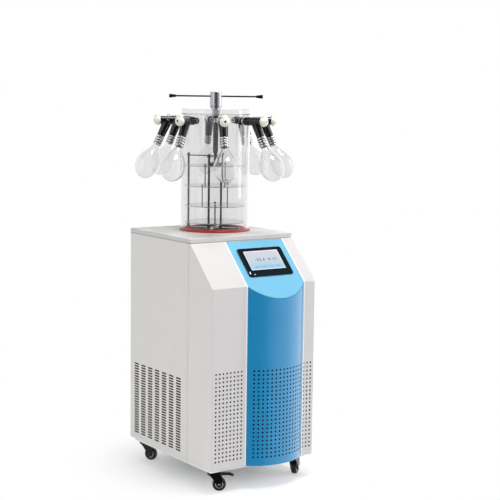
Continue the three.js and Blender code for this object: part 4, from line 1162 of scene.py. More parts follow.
def makeGland(sizes):
    radius, bore, flat = taken(sizes, "radius bore flange")
    top = chamberSizes["height"] + chamberSizes["lid"] + gap
    bottom = chamberSizes["height"] - sizes["drop"]
    rise, over, sunk = (top - bottom) / sizes["ribs"], top + sizes["flangeThickness"], radius - sizes["ribDepth"]
    ribHalf, grooveHalf = rise * sizes["ribHalf"], rise * sizes["grooveHalf"]
    side = [(radius, bottom, 0.0006)]
    for rib in range(sizes["ribs"]):
        middle = bottom + rise * (rib + 0.5)
        side += [(radius, middle - ribHalf, 0.0006), (sunk, middle - grooveHalf, 0.0004),
                 (sunk, middle + grooveHalf, 0.0004), (radius, middle + ribHalf, 0.0006)]
    section = rounded([(bore, bottom, 0), *side, (radius, top, 0), (flat, top, 0.0004), (flat, over, 0.0009),
                       (bore, over, 0)], 3)
    finished(lathe("lid_gland_finished", section, 64, onDeck), steel)
    nutTop = bottom - 0.0001
    nut = hexNut("gland_nut", sizes["nut"], bore, nutTop - sizes["nutHeight"], nutTop, onDeck)
    finished(nut, blackPlastic)


def hexNut(name, radius, bore, low, high, place):
    # A six-sided nut whose corners are turned off at both ends.
    chamfer = radius * 0.14
    nut = prism(name, circle(radius, 6), low, high)
    easing = lathe("easing", [(bore, low), (radius - chamfer, low), (radius, low + chamfer * 0.6),
                              (radius, high - chamfer * 0.6), (radius - chamfer, high), (bore, high)], 48)
    combined(nut, [easing], "INTERSECT")
    return moved(nut, place)


# Rack, shelves and press

rackSizes = {"rod": 0.0040, "circle": 0.108, "turns": (-46, -136, 134), "spareTurn": 44, "top": 0.290, "nut": 0.006,
             "nutHeight": 0.009, "nutSide": 0.0035, "dome": 0.86, "collar": 0.007, "baseLow": 0.0073, "baseHigh": 0.0103,
             "baseOuter": 0.120, "baseWidth": 0.022, "spoke": 0.012, "hub": 0.024, "spokeFrom": 0.028, "plate": 0.004,
             "arm": 0.014, "guide": 0.018, "boss": 0.009, "guideBore": 0.0107, "baseEdge": 0.0006, "seatEdge": 0.0009,
             "bracketEdge": 0.0007}
shelfSizes = {"radius": 0.1175, "thickness": 0.003, "bottoms": (0.2495, 0.1715, 0.0945, 0.031), "edge": 0.0013,
              "room": 0.0004}
hangerSizes = {"radius": 0.002, "circle": 0.080, "turns": (-62, -71, -33), "head": 0.0045, "headHeight": 0.005,
               "nutHeight": 0.003}


def flatBar(name, start, end, width, low, high):
    along = (end - start).to_2d()
    aside = Vector((-along.y, along.x)).normalized() * width / 2
    corners = [start.to_2d() - aside, end.to_2d() - aside, end.to_2d() + aside, start.to_2d() + aside]
    return prism(name, [tuple(corner) for corner in corners], low, high, onDeck)


def makeRack(sizes):
    low, high, outer, circleRadius, arm = taken(sizes, "baseLow baseHigh baseOuter circle arm")
    inner, hubRadius, spoke = outer - sizes["baseWidth"], sizes["hub"], sizes["spoke"]
    hub = collar("rack_spider", hubRadius, hubRadius + spoke, low, high, 64, onDeck)
    spokes = [flatBar("spoke", polar(sizes["spokeFrom"], turn), polar(inner - 0.0002, turn), spoke, low, high)
              for turn in (*sizes["turns"], sizes["spareTurn"])]
    combined(hub, spokes, "UNION")
    finished(bevelled(hub, sizes["baseEdge"], 2, 40), steel, stands="rack_frame")
    # The seat ring's brighter red is painted light.
    ring = collar("rack_seat", inner, outer, low, high, 128, onDeck)
    finished(bevelled(ring, sizes["seatEdge"], 3, 40), seatRubber)
    top, under = sizes["top"], sizes["top"] - sizes["plate"]
    places = [polar(circleRadius, turn) for turn in sizes["turns"]]
    bracket = rod("rack_bracket", sizes["guide"], under, top, 64, onDeck)
    arms = [flatBar("arm", Vector((0, 0, 0)), place, arm, under, top) for place in places]
    bosses = [rod("boss", sizes["boss"], under - 1e-5, top + 1e-5, 32, onDeck @ Matrix.Translation(place))
              for place in places]
    combined(bracket, arms + bosses, "UNION")
    combined(bracket, [rod("bore", sizes["guideBore"], top - 2 * past, top + 2 * past, 64, onDeck)])
    finished(bevelled(bracket, sizes["bracketEdge"], 3, 40), darkSteel)
    radius, wide, nut, side = taken(sizes, "rod collar nut nutSide")
    round_, foot, step = nut * sizes["dome"], top + 0.0012, shelfSizes["bottoms"][-1] - gap
    ball = top + sizes["nutHeight"] - round_
    dome = [(round_ * math.cos(turn), ball + round_ * math.sin(turn))
            for turn in [step * math.pi / 16 for step in range(9)]]
    for index, at in enumerate(places, 1):
        place = onDeck @ Matrix.Translation(at)
        section = rounded([(0, high, 0), (wide, high, 0.0005), (wide, step, 0.0008), (radius, step, 0),
                           (radius, top + 0.001, 0), (0, top + 0.001, 0)], 3)
        finished(lathe(f"rack_rod_{index}", section, 32, place), darkSteel)
        sides = rounded([(nut, foot, 0.0004), (nut, top + side, 0.0006), (round_, top + side, 0)], 3, closed=False)
        acorn = lathe(f"rack_nut_{index}", [(0, foot), *sides, *dome[:-1], (0, dome[-1][1])], 24, place)
        finished(acorn, darkSteel)


def hangerPlaces(number):
    # A shelf hangs on two pins, opposite each other. The lowest one has none.
    if number not in range(len(hangerSizes["turns"])):
        return []
    return [polar(hangerSizes["circle"], hangerSizes["turns"][number] + half) for half in (0, 180)]


def makeShelf(sizes, number, body):
    room, low = sizes["room"], sizes["bottoms"][number]
    high = low + sizes["thickness"]
    radius, ease = sizes["radius"], sizes["edge"]
    section = rounded([(0, low, 0), (radius, low, ease), (radius, high, ease), (0, high, 0)])
    disc = lathe(f"shelf_{number + 1}_finished", section, 128, onDeck)
    drills = [(rackSizes["rod"] + room, polar(rackSizes["circle"], turn)) for turn in rackSizes["turns"]]
    drills += [(hangerSizes["radius"] + room, at) for at in hangerPlaces(number)]
    if number == 0:
        drills.append((pressSizes["shaft"] + gap, Vector((0, 0, 0))))
    holes = [rod("hole", wide, low - past, high + past, 24, onDeck @ Matrix.Translation(at)) for wide, at in drills]
    combined(disc, [joined("holes", holes)])
    finished(disc, shelfSteel, body)
    pin, head, headHeight, nut = taken(hangerSizes, "radius head headHeight nutHeight")
    seat, half = sizes["bottoms"][number - 1] + sizes["thickness"] + gap, headHeight / 2
    ball = [(head * math.cos(turn), seat + half + half * math.sin(turn))
            for turn in [step * math.pi / 12 - math.pi / 2 for step in range(1, 12)]]
    under = low - 0.0001
    sides = rounded([(head, low - nut, 0.0006), (head, under, 0.0004), (pin, under, 0), (pin, seat, 0)], 3, closed=False)
    section = [(0, low - nut), *sides, *ball, (0, seat + headHeight)]
    for side, at in enumerate(hangerPlaces(number - 1), 1):
        hung = lathe(f"hanger_{number}_{side}", section, 24, onDeck @ Matrix.Translation(at))
        finished(hung, darkSteel, body)


pressSizes = {"screw": 0.0043, "core": 0.0036, "pitch": 0.004, "sleeve": 0.01025, "sleeveLow": 0.300,
              "sleeveHigh": 0.4152, "top": 0.508, "shaft": 0.007, "foot": 0.026, "footHeight": 0.009, "clip": 0.012,
              "clipHeight": 0.003, "neck": 0.003, "neckHeight": 0.004, "threadEnds": 0.002}


def makePress(sizes):
    shaft, foot, clip, sleeve, core = taken(sizes, "shaft foot clip sleeve core")
    low, high, top = taken(sizes, "sleeveLow sleeveHigh top")
    under, over = shelfSizes["bottoms"][0] - gap, shelfSizes["bottoms"][0] + shelfSizes["thickness"] + gap
    clipLow, footTop = under - sizes["clipHeight"], over + sizes["footHeight"]
    sides = rounded([
        (clip, clipLow, 0.0008), (clip, under, 0.0005), (shaft, under, 0), (shaft, over, 0), (foot, over, 0.0008),
        (foot, footTop, 0.002), (shaft + sizes["neck"], footTop, 0.0015),
        (shaft, footTop + sizes["neckHeight"], 0.001),
        (shaft, low, 0), (sleeve, low, 0.001), (sleeve, high, 0.0012), (core, high, 0), (core, top, 0.0006)],
        4, closed=False)
    spindle = lathe("press_spindle_finished", [(0, clipLow), *sides, (0, top)], 64, onDeck)
    finished(spindle, spindleSteel, "press")
    start = high + sizes["threadEnds"]
    rise = top - start - sizes["threadEnds"]
    thread = grown(
        meshObject("press_thread", []), woundWire, Turns=rise / sizes["pitch"] * 2, Radius=core, Rise=rise,
        Wire=sizes["screw"] - core, Steps=24, Sides=6, Centre=tuple(chamberAxis + start * upwards), Material=steel)
    finished(thread, body="press", weighted=False)


# Handle

handleSizes = {"low": 0.471, "hub": 0.0235, "height": 0.062, "bevel": 0.002, "bar": 0.003, "barUp": 0.045, "span": 0.361,
               "turn": 55, "grip": 0.027, "gripInner": 0.0045, "gripOuter": 0.0075, "inGrip": 0.018, "bore": 0.0046,
               "flutes": 10, "fluteDepth": 0.0005}


def makeHandle(sizes):
    low, wide, bore, thin = taken(sizes, "low hub bore bar")
    high = low + sizes["height"]
    section = rounded([
        (bore, low, 0), (wide - 0.001, low, 0.0008), (wide - 0.001, low + 0.0055, 0.0003),
        (wide - 0.0022, low + 0.0062, 0.0003), (wide, low + 0.0074, 0.0004), (wide, high, sizes["bevel"]),
        (wide * 0.62, high, 0.0004), (wide * 0.58, high - 0.0008, 0.0004), (bore, high - 0.0008, 0)])
    hub = lathe("handle_hub_finished", section, 96, onDeck)
    direction = polar(1, sizes["turn"])
    centre = chamberAxis + (low + sizes["barUp"]) * upwards

    def across(name, radius, half):
        return tube(name, radius, centre - direction * half, centre + direction * half, 32)

    combined(hub, [across("bore", thin + gap, 0.03)])
    finished(hub, turnedAluminium, "handle")
    cap = rod("hub_cap", bore - 0.0001, high - 0.012, high - 0.001, 32, onDeck)
    finished(cap, turnedAluminium, "handle")
    reach = sizes["span"] / 2 - sizes["grip"]
    bar = bevelled(across("handle_bar_finished", thin, reach + sizes["inGrip"]), 0.0004, 2, 50)
    finished(bar, darkSteel, "handle")
    for name, side in (("left", -1), ("right", 1)):
        place = axisFrame(centre + direction * side * reach, direction * side)
        grip = makeGrip(f"handle_grip_{name}_finished", sizes, place)
        finished(grip, blackPlastic, "handle", angle=50)


def makeGrip(name, sizes, place):
    # A flared grip with shallow flutes and a round end.
    length, start, end, flutes = taken(sizes, "grip gripInner gripOuter flutes")
    profile = rounded([(start * 0.7, 0, 0), (start, 0, 0.0012), (end, length * 0.82, 0.004), (end, length, 0.0028),
                       (0, length, 0)], 5, closed=False)
    loops = []
    for radius, along in profile[:-1]:
        depth = sizes["fluteDepth"] * max(0.0, math.sin(math.pi * min(1, max(0, along / length))))
        reaches = [(turn, radius - depth * (0.5 + 0.5 * math.cos(flutes * turn))) for turn in turnsRound(flutes * 8)]
        loops.append([(reach * math.cos(turn), reach * math.sin(turn), along) for turn, reach in reaches])
    return moved(loft(name, loops), place)


# Valves and flasks. Local X points out of the chamber.

valveSizes = {"barrel": 0.0157, "start": 0.134, "end": 0.214, "innerRound": 0.0085, "branch": 0.185, "tilt": 25,
              "armTop": 0.0182, "armEnd": 0.0152, "armLength": 0.065, "spigot": 0.009, "spigotEnd": 0.008,
              "spigotLength": 0.026, "voxel": 0.0012, "plug": 0.0077, "plugStart": 0.171, "plugRoom": 0.0004,
              "stub": 0.009, "stubBore": 0.005, "nut": 0.013, "nutInner": 0.1172, "nutOuter": 0.1227}
tiltedDown = Matrix.Rotation(math.pi - math.radians(valveSizes["tilt"]), 4, "Y")
downBranch = Matrix.Translation((valveSizes["branch"], 0, 0)) @ tiltedDown


def makeBarrel(sizes):
    # The rubber barrel and its arm, melted into one.
    radius, start, end = taken(sizes, "barrel start end")
    sides = rounded([(radius - 0.0035, start, 0.001), (radius, start + 0.0055, sizes["innerRound"]),
                     (radius, end, 0)], 8, closed=False)
    barrel = lathe("valve_body", [(0, start), *sides[:-1], (radius, end), (0, end)], 64, alongX)
    armTop, armEnd, length, spigot, spigotEnd, further = taken(
        sizes, "armTop armEnd armLength spigot spigotEnd spigotLength")
    arm = lathe("arm", [(0, 0), (armTop, 0), (armEnd, length - 0.001), (armEnd - 0.001, length), (spigot, length),
                        (spigotEnd, length + further), (0, length + further)], 64, downBranch)
    combined(barrel, [arm], "UNION")
    remesh = barrel.modifiers.new("remesh", "REMESH")
    remesh.mode = "VOXEL"
    remesh.voxel_size = sizes["voxel"]
    soften = barrel.modifiers.new("soften", "SMOOTH")
    soften.factor, soften.iterations = 0.5, 4
    baked(barrel)
    bore = rod("bore", sizes["plug"] + sizes["plugRoom"], sizes["plugStart"], end + past, 32, alongX)
    return combined(barrel, [bore])


def makeVent(sizes):
    # A small cup sunk in the knob's outer end.
    outer, end = sizes["vent"] - 0.0002, sizes["end"]
    inner, floor, mouth = outer - 0.0007, end - 0.0122, end - 0.0035
    return lathe("knob_vent", [(0, floor), (outer, floor), (outer, mouth), (inner, mouth), (inner, floor + 0.001),
                               (0, floor + 0.001)], 32, alongX)


def makeValves(sizes):
    stubLow, stubHigh = sizes["nutInner"] - 0.002, sizes["start"] + 0.004
    stub = lathe("valve_stub", rounded([
        (sizes["stubBore"], stubLow, 0), (sizes["stub"], stubLow, 0.0006), (sizes["stub"], stubHigh, 0),
        (sizes["stubBore"], stubHigh, 0)], 3), 32, alongX)
    nut = hexNut("valve_nut", sizes["nut"], sizes["stub"] + 0.0001, sizes["nutInner"], sizes["nutOuter"], alongX)
    flask, sleeve, bands = makeFlask(flaskSizes)
    parts = [  # name, piece, body, slot and look
        ("valve_body_{}_finished", smoothed(makeBarrel(sizes), 40, False), "cabinet", "black_rubber", blackRubber),
        ("valve_stub_{}", smoothed(stub), "cabinet", "stainless", steel),
        ("valve_nut_{}", smoothed(nut), "cabinet", "stainless", darkSteel),
        ("valve_knob_{}_finished", smoothed(makeKnob(knobSizes), 50), "valve_{}", "cream_plastic", creamPlastic),
        ("knob_vent_{}", smoothed(makeVent(knobSizes)), "valve_{}", "black_plastic", blackPlastic)]
    hanging = [
        ("flask_{}_finished", smoothed(flask, 60, False), "cabinet", "clear_glass", glass),
        ("flask_sleeve_{}", smoothed(sleeve), "cabinet", "brushed_aluminium", sleeveMetal),
        # The dark bands stand for painted shade in the sleeve's grooves.
        ("sleeve_bands_{}", smoothed(bands), "cabinet", "black_rubber", blackRubber)]
    for index, place in valveFrames.items():
        hang = place @ downBranch @ Matrix.Translation((0, 0, sizes["armLength"]))
        for at, rows in ((place, parts), (hang, hanging)):
            for name, piece, body, slot, look in rows:
                finished(copied(piece, name.format(index), at), look, body.format(index), angle=None)
    for row in parts + hanging:
        bpy.data.objects.remove(row[1])


knobSizes = {"start": 0.2143, "end": 0.2393, "radius": 0.019, "vent": 0.0042, "ventDepth": 0.012, "tip": 0.0248,
             "lobeHalf": 30, "lobeStart": 0.0012, "lobeEnd": 0.0222, "turns": 72}


def easeStep(value):
    share = min(1.0, max(0.0, value))
    return share * share * (3 - 2 * share)


def makeKnob(sizes):
    # A ball-like knob with a thumb lobe on top, turned round the valve's axis.
    start, radius, vent, tip = taken(sizes, "start radius vent tip")
    length, plug = sizes["end"] - start, valveSizes["plug"]
    outline = rounded([
        (plug, 0, 0), (radius * 0.74, 0, 0.0015), (radius, 0.0055, 0.007), (radius, length - 0.0095, 0.012),
        (radius * 0.52, length, 0.0035), (vent, length, 0.0008), (vent, length - sizes["ventDepth"], 0)], 7,
        closed=False)
    loops = []
    for ring, along in [(plug, valveSizes["plugStart"] - start + gap)] + outline:
        lobe = easeStep((along - sizes["lobeStart"] + 0.002) / 0.004)
        lobe *= easeStep((sizes["lobeEnd"] + 0.002 - along) / 0.006)
        if ring <= plug or along < 0:
            lobe = 0.0
        loop = []
        for turn in turnsRound(sizes["turns"]):
            aside = math.degrees(abs(math.atan2(math.sin(turn - math.pi / 2), math.cos(turn - math.pi / 2))))
            reach = ring + (tip - ring) * easeStep((sizes["lobeHalf"] + 9 - aside) / 16) * lobe
            loop.append((start + along, reach * math.cos(turn), reach * math.sin(turn)))
        loops.append(loop)
    return loft("valve_knob", loops)


flaskSizes = {"radius": 0.0464, "length": 0.178, "wall": 0.0018, "neck": 0.0133, "neckTop": 0.003, "neckEnd": 0.040,
              "shoulders": (0.062, 0.086), "belly": 0.122, "sleeve": 0.017, "sleeveLength": 0.040, "ribs": 4,
              "ribDepth": 0.0032, "bandInner": 0.013, "bandRadius": 0.0150, "bandHalf": 0.0009, "mouth": 0.0094}


def makeFlask(sizes):
    # Heights run down from the arm's end. The sleeve's ribs are parted by dark bands, painted shade in the grooves.
    wall, top, bottom, belly, count = taken(sizes, "wall neckTop length belly ribs")

    def wallCurve(inset):
        radius, neck = sizes["radius"] - inset, sizes["neck"] - inset
        first, second = sizes["shoulders"]
        swell = bezier((neck, sizes["neckEnd"]), (neck, first), (radius, second), (radius, belly), 18)
        turns = [step * math.pi / 32 for step in range(1, 16)]
        depth = bottom - belly - inset
        return swell + [(radius * math.cos(turn), belly + depth * math.sin(turn)) for turn in turns]

    neck = sizes["neck"]
    lip = [(neck - wall, top + wall / 2), (neck - wall / 2, top), (neck, top + wall / 2)]
    section = [*lip, *wallCurve(0), (0, bottom), (0, bottom - wall), *reversed(wallCurve(wall))]
    flask = lathe("flask", section, 72)
    outer, length, mouth, inner = sizes["sleeve"], sizes["sleeveLength"], sizes["mouth"], neck + 0.0002
    rib, root = length / count, outer - sizes["ribDepth"]
    side = []
    for low in [rib * index for index in range(count)]:
        side += [(root, low + 0.0013, 0.0004), (outer, low + 0.0020, 0.0012), (outer, low + rib - 0.0020, 0.0012),
                 (root, low + rib - 0.0013, 0.0004)]
    sleeve = lathe("sleeve", rounded([(mouth, 0, 0), *side, (inner, length, 0.0004), (inner, top - 0.0004, 0),
                                      (mouth, top - 0.0004, 0)], 3), 48)
    inner, outer, half = taken(sizes, "bandInner bandRadius bandHalf")
    bands = []
    for middle in [rib * index for index in range(1, count)]:
        low, high = middle - half, middle + half
        section = rounded([(inner, low, 0), (outer, low, 0.0009), (outer, high, 0.0009), (inner, high, 0)], 3)
        bands.append(lathe("band", section, 48))
    return flask, sleeve, joined("bands", bands)


makeGasket(gasketSizes)
makeChamber(chamberSizes)
makeGland(glandSizes)
makeRack(rackSizes)
for number, body in enumerate(("press", "hung_shelf_2", "hung_shelf_3", "cabinet")):
    makeShelf(shelfSizes, number, body)
makePress(pressSizes)
makeHandle(handleSizes)
makeValves(valveSizes)
print("tower made")


# Casters. In a caster's own frame Z is the swivel axis, +X trails behind it and Y runs along the axle.

casterSizes = {"trail": 0.020, "wheel": 0.025, "half": 0.011, "shoulder": 0.0045, "bead": 0.0178, "boss": 0.007,
               "bore": 0.0042, "ringInner": 0.0116, "ringOuter": 0.0152, "ringRise": 0.0016, "ringEase": 0.0005,
               "groove": 0.0004, "grooveAt": 0.0034, "grooveHalf": 0.0007, "sidewall": 0.005, "beadSunk": 0.0012,
               "face": 0.0004, "faceSunk": 0.0032}
forkSizes = {"top": 0.0737, "half": 0.0155, "slot": 0.0125, "slotHeight": 0.09, "roof": 0.054, "boss": 0.011,
             "head": 0.024, "plate": 0.0236, "plateLow": 0.0708, "stem": 0.005, "stemTop": 0.086, "axle": 0.004,
             "washer": 0.0072, "cap": 0.0036, "edge": 0.0009}
pedalSizes = {"half": 0.011, "eye": 0.0055, "length": 0.0495, "pin": 0.003, "pinHalf": 0.0164, "pinHead": 0.0155,
              "corner": 0.007, "edge": 0.0007, "ribs": 5, "ribPitch": 0.0042, "rib": (0.0014, 0.0145, 0.0016)}
alongY = Matrix.Rotation(-math.pi / 2, 4, "X")  # a lathe's Z becomes Y
upright = Matrix.Rotation(math.pi / 2, 4, "X")  # an outline's second axis becomes Z


def casterFrame(corner):
    swivel, axle = (Vector(joints[kind + corner]["pos_m"]) for kind in ("swivel_", "roll_"))
    back = (axle - swivel).to_2d().normalized().to_3d()
    return frameOf(back, upwards.cross(back), upwards, (swivel.x, swivel.y, 0))


def makeWheel(corner, sizes, place):
    radius, half, shoulder, bead, boss, cut = taken(sizes, "wheel half shoulder bead boss grooveHalf")
    centre = place @ Matrix.Translation((sizes["trail"], 0, radius)) @ alongY
    body, wall, seat = "wheel_" + corner, radius - sizes["sidewall"], half - sizes["beadSunk"]
    tread = []
    for middle in (-sizes["grooveAt"], sizes["grooveAt"]):
        tread += [(radius, middle - cut, 0), (radius - sizes["groove"], middle, 0), (radius, middle + cut, 0)]
    section = rounded([
        (bead, -seat, 0.0004), (wall, -half, 0.001), (radius, shoulder - half, shoulder), *tread,
        (radius, half - shoulder, shoulder), (wall, half, 0.001), (bead, seat, 0.0004)], 5)
    tyre = lathe("caster_tyre_" + corner, section, 72, centre)
    finished(tyre, tyreRubber, body, "caster_wheel_" + corner, angle=40)
    face, sunk = half + sizes["face"], half - sizes["faceSunk"]
    profile = [(sizes["bore"], -face, 0), (boss, -face, 0.0008), (boss + 0.0008, -sunk, 0.0006),
               (bead - 0.0022, -sunk, 0.0006), (bead - 0.0002, 0.0018 - half, 0)]
    mirror = [(across, -along, ease) for across, along, ease in reversed(profile)]
    disc = lathe("caster_disc_" + corner, rounded(profile + mirror, 4), 64, centre)
    finished(disc, blackPlastic, body)
    rings = []
    for side in (-1, 1):
        low, high = sorted((side * (sunk - 0.0001), side * (sunk + sizes["ringRise"])))
        rings.append(collar("ring", sizes["ringInner"], sizes["ringOuter"], low, high, 64, centre, sizes["ringEase"]))
    finished(joined("caster_rings_" + corner, rings), paleRing, body)


def makeFork(corner, sizes, place, braked):
    trail, height = taken(casterSizes, "trail wheel")
    top, head, half, boss, roof, washer, cap, tall = taken(sizes, "top head half boss roof washer cap slotHeight")
    lower = [(trail + boss * math.cos(turn), height + boss * math.sin(turn))
             for turn in [math.pi * (1 + step / 16) for step in range(17)]]
    shoulders = rounded([
        (*lower[-1], 0), (head * 1.25, top - 0.011, 0.008), (head * 1.1, top, 0.0025), (-head, top, 0.0015),
        (-head, top - 0.009, 0.004), (-head * 0.62, top - 0.014, 0)], 5, closed=False)
    hollow = bezier(shoulders[-1], (-0.010, 0.055), (0.003, 0.040), lower[0], 14)
    outline = lower + shoulders[1:] + hollow[1:-1]
    fork = prism(f"caster_fork_{corner}_finished", outline, -half, half, upright)
    slot = roundedRectangle(2 * sizes["slot"], tall, 0.004, 6, (0, roof - tall / 2))
    cuts = [prism("slot", slot, -0.06, 0.08, alongX)]
    if braked:
        room = pedalSizes["half"] + gap
        cuts.append(block("room", (pedalPlace().x - 0.0085, -room, roof - 0.006), (0.08, room, top - 0.003)))
    combined(fork, cuts)
    bevelled(fork, sizes["edge"], 3, 35)
    plate, low, high = sizes["plate"], sizes["plateLow"], top - 0.0001
    flat = lathe("plate", rounded([(0, low, 0), (plate, low, 0.0008), (plate, high, 0.0012), (0, high, 0)], 4), 64)
    stem = rod("stem", sizes["stem"], top - 0.003, sizes["stemTop"])
    whole = moved(joined(fork.name, [fork, flat, stem]), place)
    finished(whole, blackPlastic, "swivel_" + corner)
    seat, rim = half + 0.0001, half + 0.0013
    dome = [(cap * math.cos(turn), rim + 0.0012 * math.sin(turn))
            for turn in [step * math.pi / 16 for step in range(8)]]
    side = [(sizes["axle"], seat), (washer, seat), (washer, half + 0.0010), (cap, rim), *dome[1:], (0, half + 0.0025)]
    section = [(across, -along) for across, along in reversed(side)] + side
    bolt = lathe("caster_axle_" + corner, section, 32, place @ Matrix.Translation((trail, 0, height)) @ alongY)
    finished(bolt, steel if braked else darkSteel, "swivel_" + corner)


def pedalPlace():
    return Vector((casterSizes["trail"] + 0.006, 0, forkSizes["top"] - 0.010))


def makePedal(corner, sizes, place):
    half, eye, end, pin, ease, out, seat = taken(sizes, "half eye length pin corner pinHalf pinHead")
    outline = rounded([
        (0, -eye, 0.004), (eye, -0.003, 0.003), (end * 0.6, -0.003, 0.012), (end - 0.004, -0.0075, 0.0016),
        (end, -0.0035, 0.0022), (end * 0.68, 0.0035, 0.012), (0, 0.004, 0.003), (-eye, 0, 0.004)], 6)
    lever = prism(f"brake_pedal_{corner}_finished", outline, -half, half, upright)
    wide, narrow, tip = half + 0.001, half - 0.0015, end + 0.0005
    plan = rounded([
        (-0.02, -wide, 0), (0.012, -wide, 0), (0.020, -narrow, 0.004), (tip, -narrow, ease), (tip, narrow, ease),
        (0.020, narrow, 0.004), (0.012, wide, 0), (-0.02, wide, 0)], 6)
    combined(lever, [prism("plan", plan, -0.03, 0.03)], "INTERSECT")
    bevelled(lever, sizes["edge"], 3, 35)
    combined(lever, [rod("bore", pin + 0.0004, -0.02, 0.02, 24, alongY)])
    hinge = place @ Matrix.Translation(pedalPlace())
    ribs = grown(
        meshObject("pedal_ribs_" + corner, []), rowOfPlates, Count=sizes["ribs"], Start=(0.0125, 0, 0.0034),
        Step=(sizes["ribPitch"], 0, -0.00013), Size=sizes["rib"], Material=blackPlastic)
    finished(moved(lever, hinge), blackPlastic, "brake_" + corner)
    finished(moved(ribs, hinge), body="brake_" + corner)
    head = pin + 0.0008
    section = rounded([
        (0, -out, 0), (head, -out, 0.0007), (head, -seat, 0), (pin, -seat, 0), (pin, seat, 0), (head, seat, 0),
        (head, out, 0.0007), (0, out, 0)], 3)
    finished(lathe("pedal_pin_" + corner, section, 24, hinge @ alongY), steel, "swivel_" + corner)


for corner in ("front_left", "front_right", "rear_left", "rear_right"):
    place = casterFrame(corner)
    braked = "brake_pedal_" + corner in nodes
    makeWheel(corner, casterSizes, place)
    makeFork(corner, forkSizes, place, braked)
    if braked:
        makePedal(corner, pedalSizes, place)
print("casters made")


# Trap, compressor and condenser, inside the cabinet

backwards = Vector((0, 1, 0))
trapSizes = {"wall": 0.002, "depth": 0.300, "flange": 0.022, "flangeThickness": 0.002, "floorCorner": 0.018,
             "pipe": 0.014, "pipeBore": 0.011, "pipeDrop": 0.222, "collar": 0.020, "collarThickness": 0.005,
             "grommet": 0.0245, "wire": 0.0032, "pitch": 0.0185, "coilRoom": 0.022, "coilTop": -0.030}


def makeTrap(sizes):
    wall, ease, pipe, bore, ring, drop = taken(sizes, "wall floorCorner pipe pipeBore collar pipeDrop")
    floor, outer = -sizes["depth"], trapRadius
    flange, top, inner = outer + sizes["flange"], gap + sizes["flangeThickness"], outer - wall
    section = rounded([
        (0, floor, 0), (outer, floor, ease), (outer, gap, 0.001), (flange, gap, 0.0004), (flange, top, 0.0006),
        (inner, top, 0.0014), (inner, floor + wall, ease - wall), (0, floor + wall, 0)], 7)
    trap = lathe("cold_trap_finished", section, 128, onDeck)
    back, end = coverHigh.y - chamberAxis.y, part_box("cold_trap")[1].y - chamberAxis.y
    root, lip = outer - 0.0015, end - sizes["collarThickness"]
    along = onDeck @ Matrix.Translation((0, 0, -drop)) @ alongY
    outlet = lathe("pipe", rounded([
        (bore, root, 0), (pipe, root, 0), (pipe, lip - 0.003, 0.002), (ring, lip, 0.0006), (ring, end, 0.0008),
        (bore, end, 0.0008)], 4), 64, along)
    combined(trap, [rod("hole", bore, outer - 2 * past, outer + past, 48, along)])
    combined(trap, [outlet], "UNION")
    finished(trap, trapSteel)
    rim, foot, over, snug = sizes["grommet"], back + 0.0001, back + 0.0042, pipe + 0.0002
    grommet = lathe("port_grommet", rounded([
        (snug, foot, 0), (rim, foot, 0.0006), (rim, back + 0.0022, 0.0014), (pipe + 0.0016, over, 0.0012),
        (snug, over, 0)], 4), 64, along)
    finished(grommet, blackRubber)
    wire, room = taken(sizes, "wire coilRoom")
    for name, low, high in (("lower", floor + room, -drop - room), ("upper", room - drop, sizes["coilTop"])):
        coil = grown(
            meshObject("cooling_coil_" + name, []), woundWire, Turns=(high - low) / sizes["pitch"],
            Radius=outer + wire + 0.0002, Rise=high - low, Wire=wire, Steps=48, Sides=10,
            Centre=tuple(chamberAxis + low * upwards), Material=copper)
        finished(welded(coil, outward=False), angle=50, weighted=False)


compressorSizes = {"radius": 0.078, "bottom": 0.006, "seam": 0.0025, "seamAt": 0.118, "foot": 0.004, "corner": 0.016,
                   "bolt": 0.014, "box": (0.046, 0.030, 0.052), "boxSunk": 0.012, "boxLow": 0.062, "stub": 0.0048,
                   "stubLength": 0.030, "stubs": ((0.6, 0.150), (1.2, 0.080), (2.3, 0.150))}


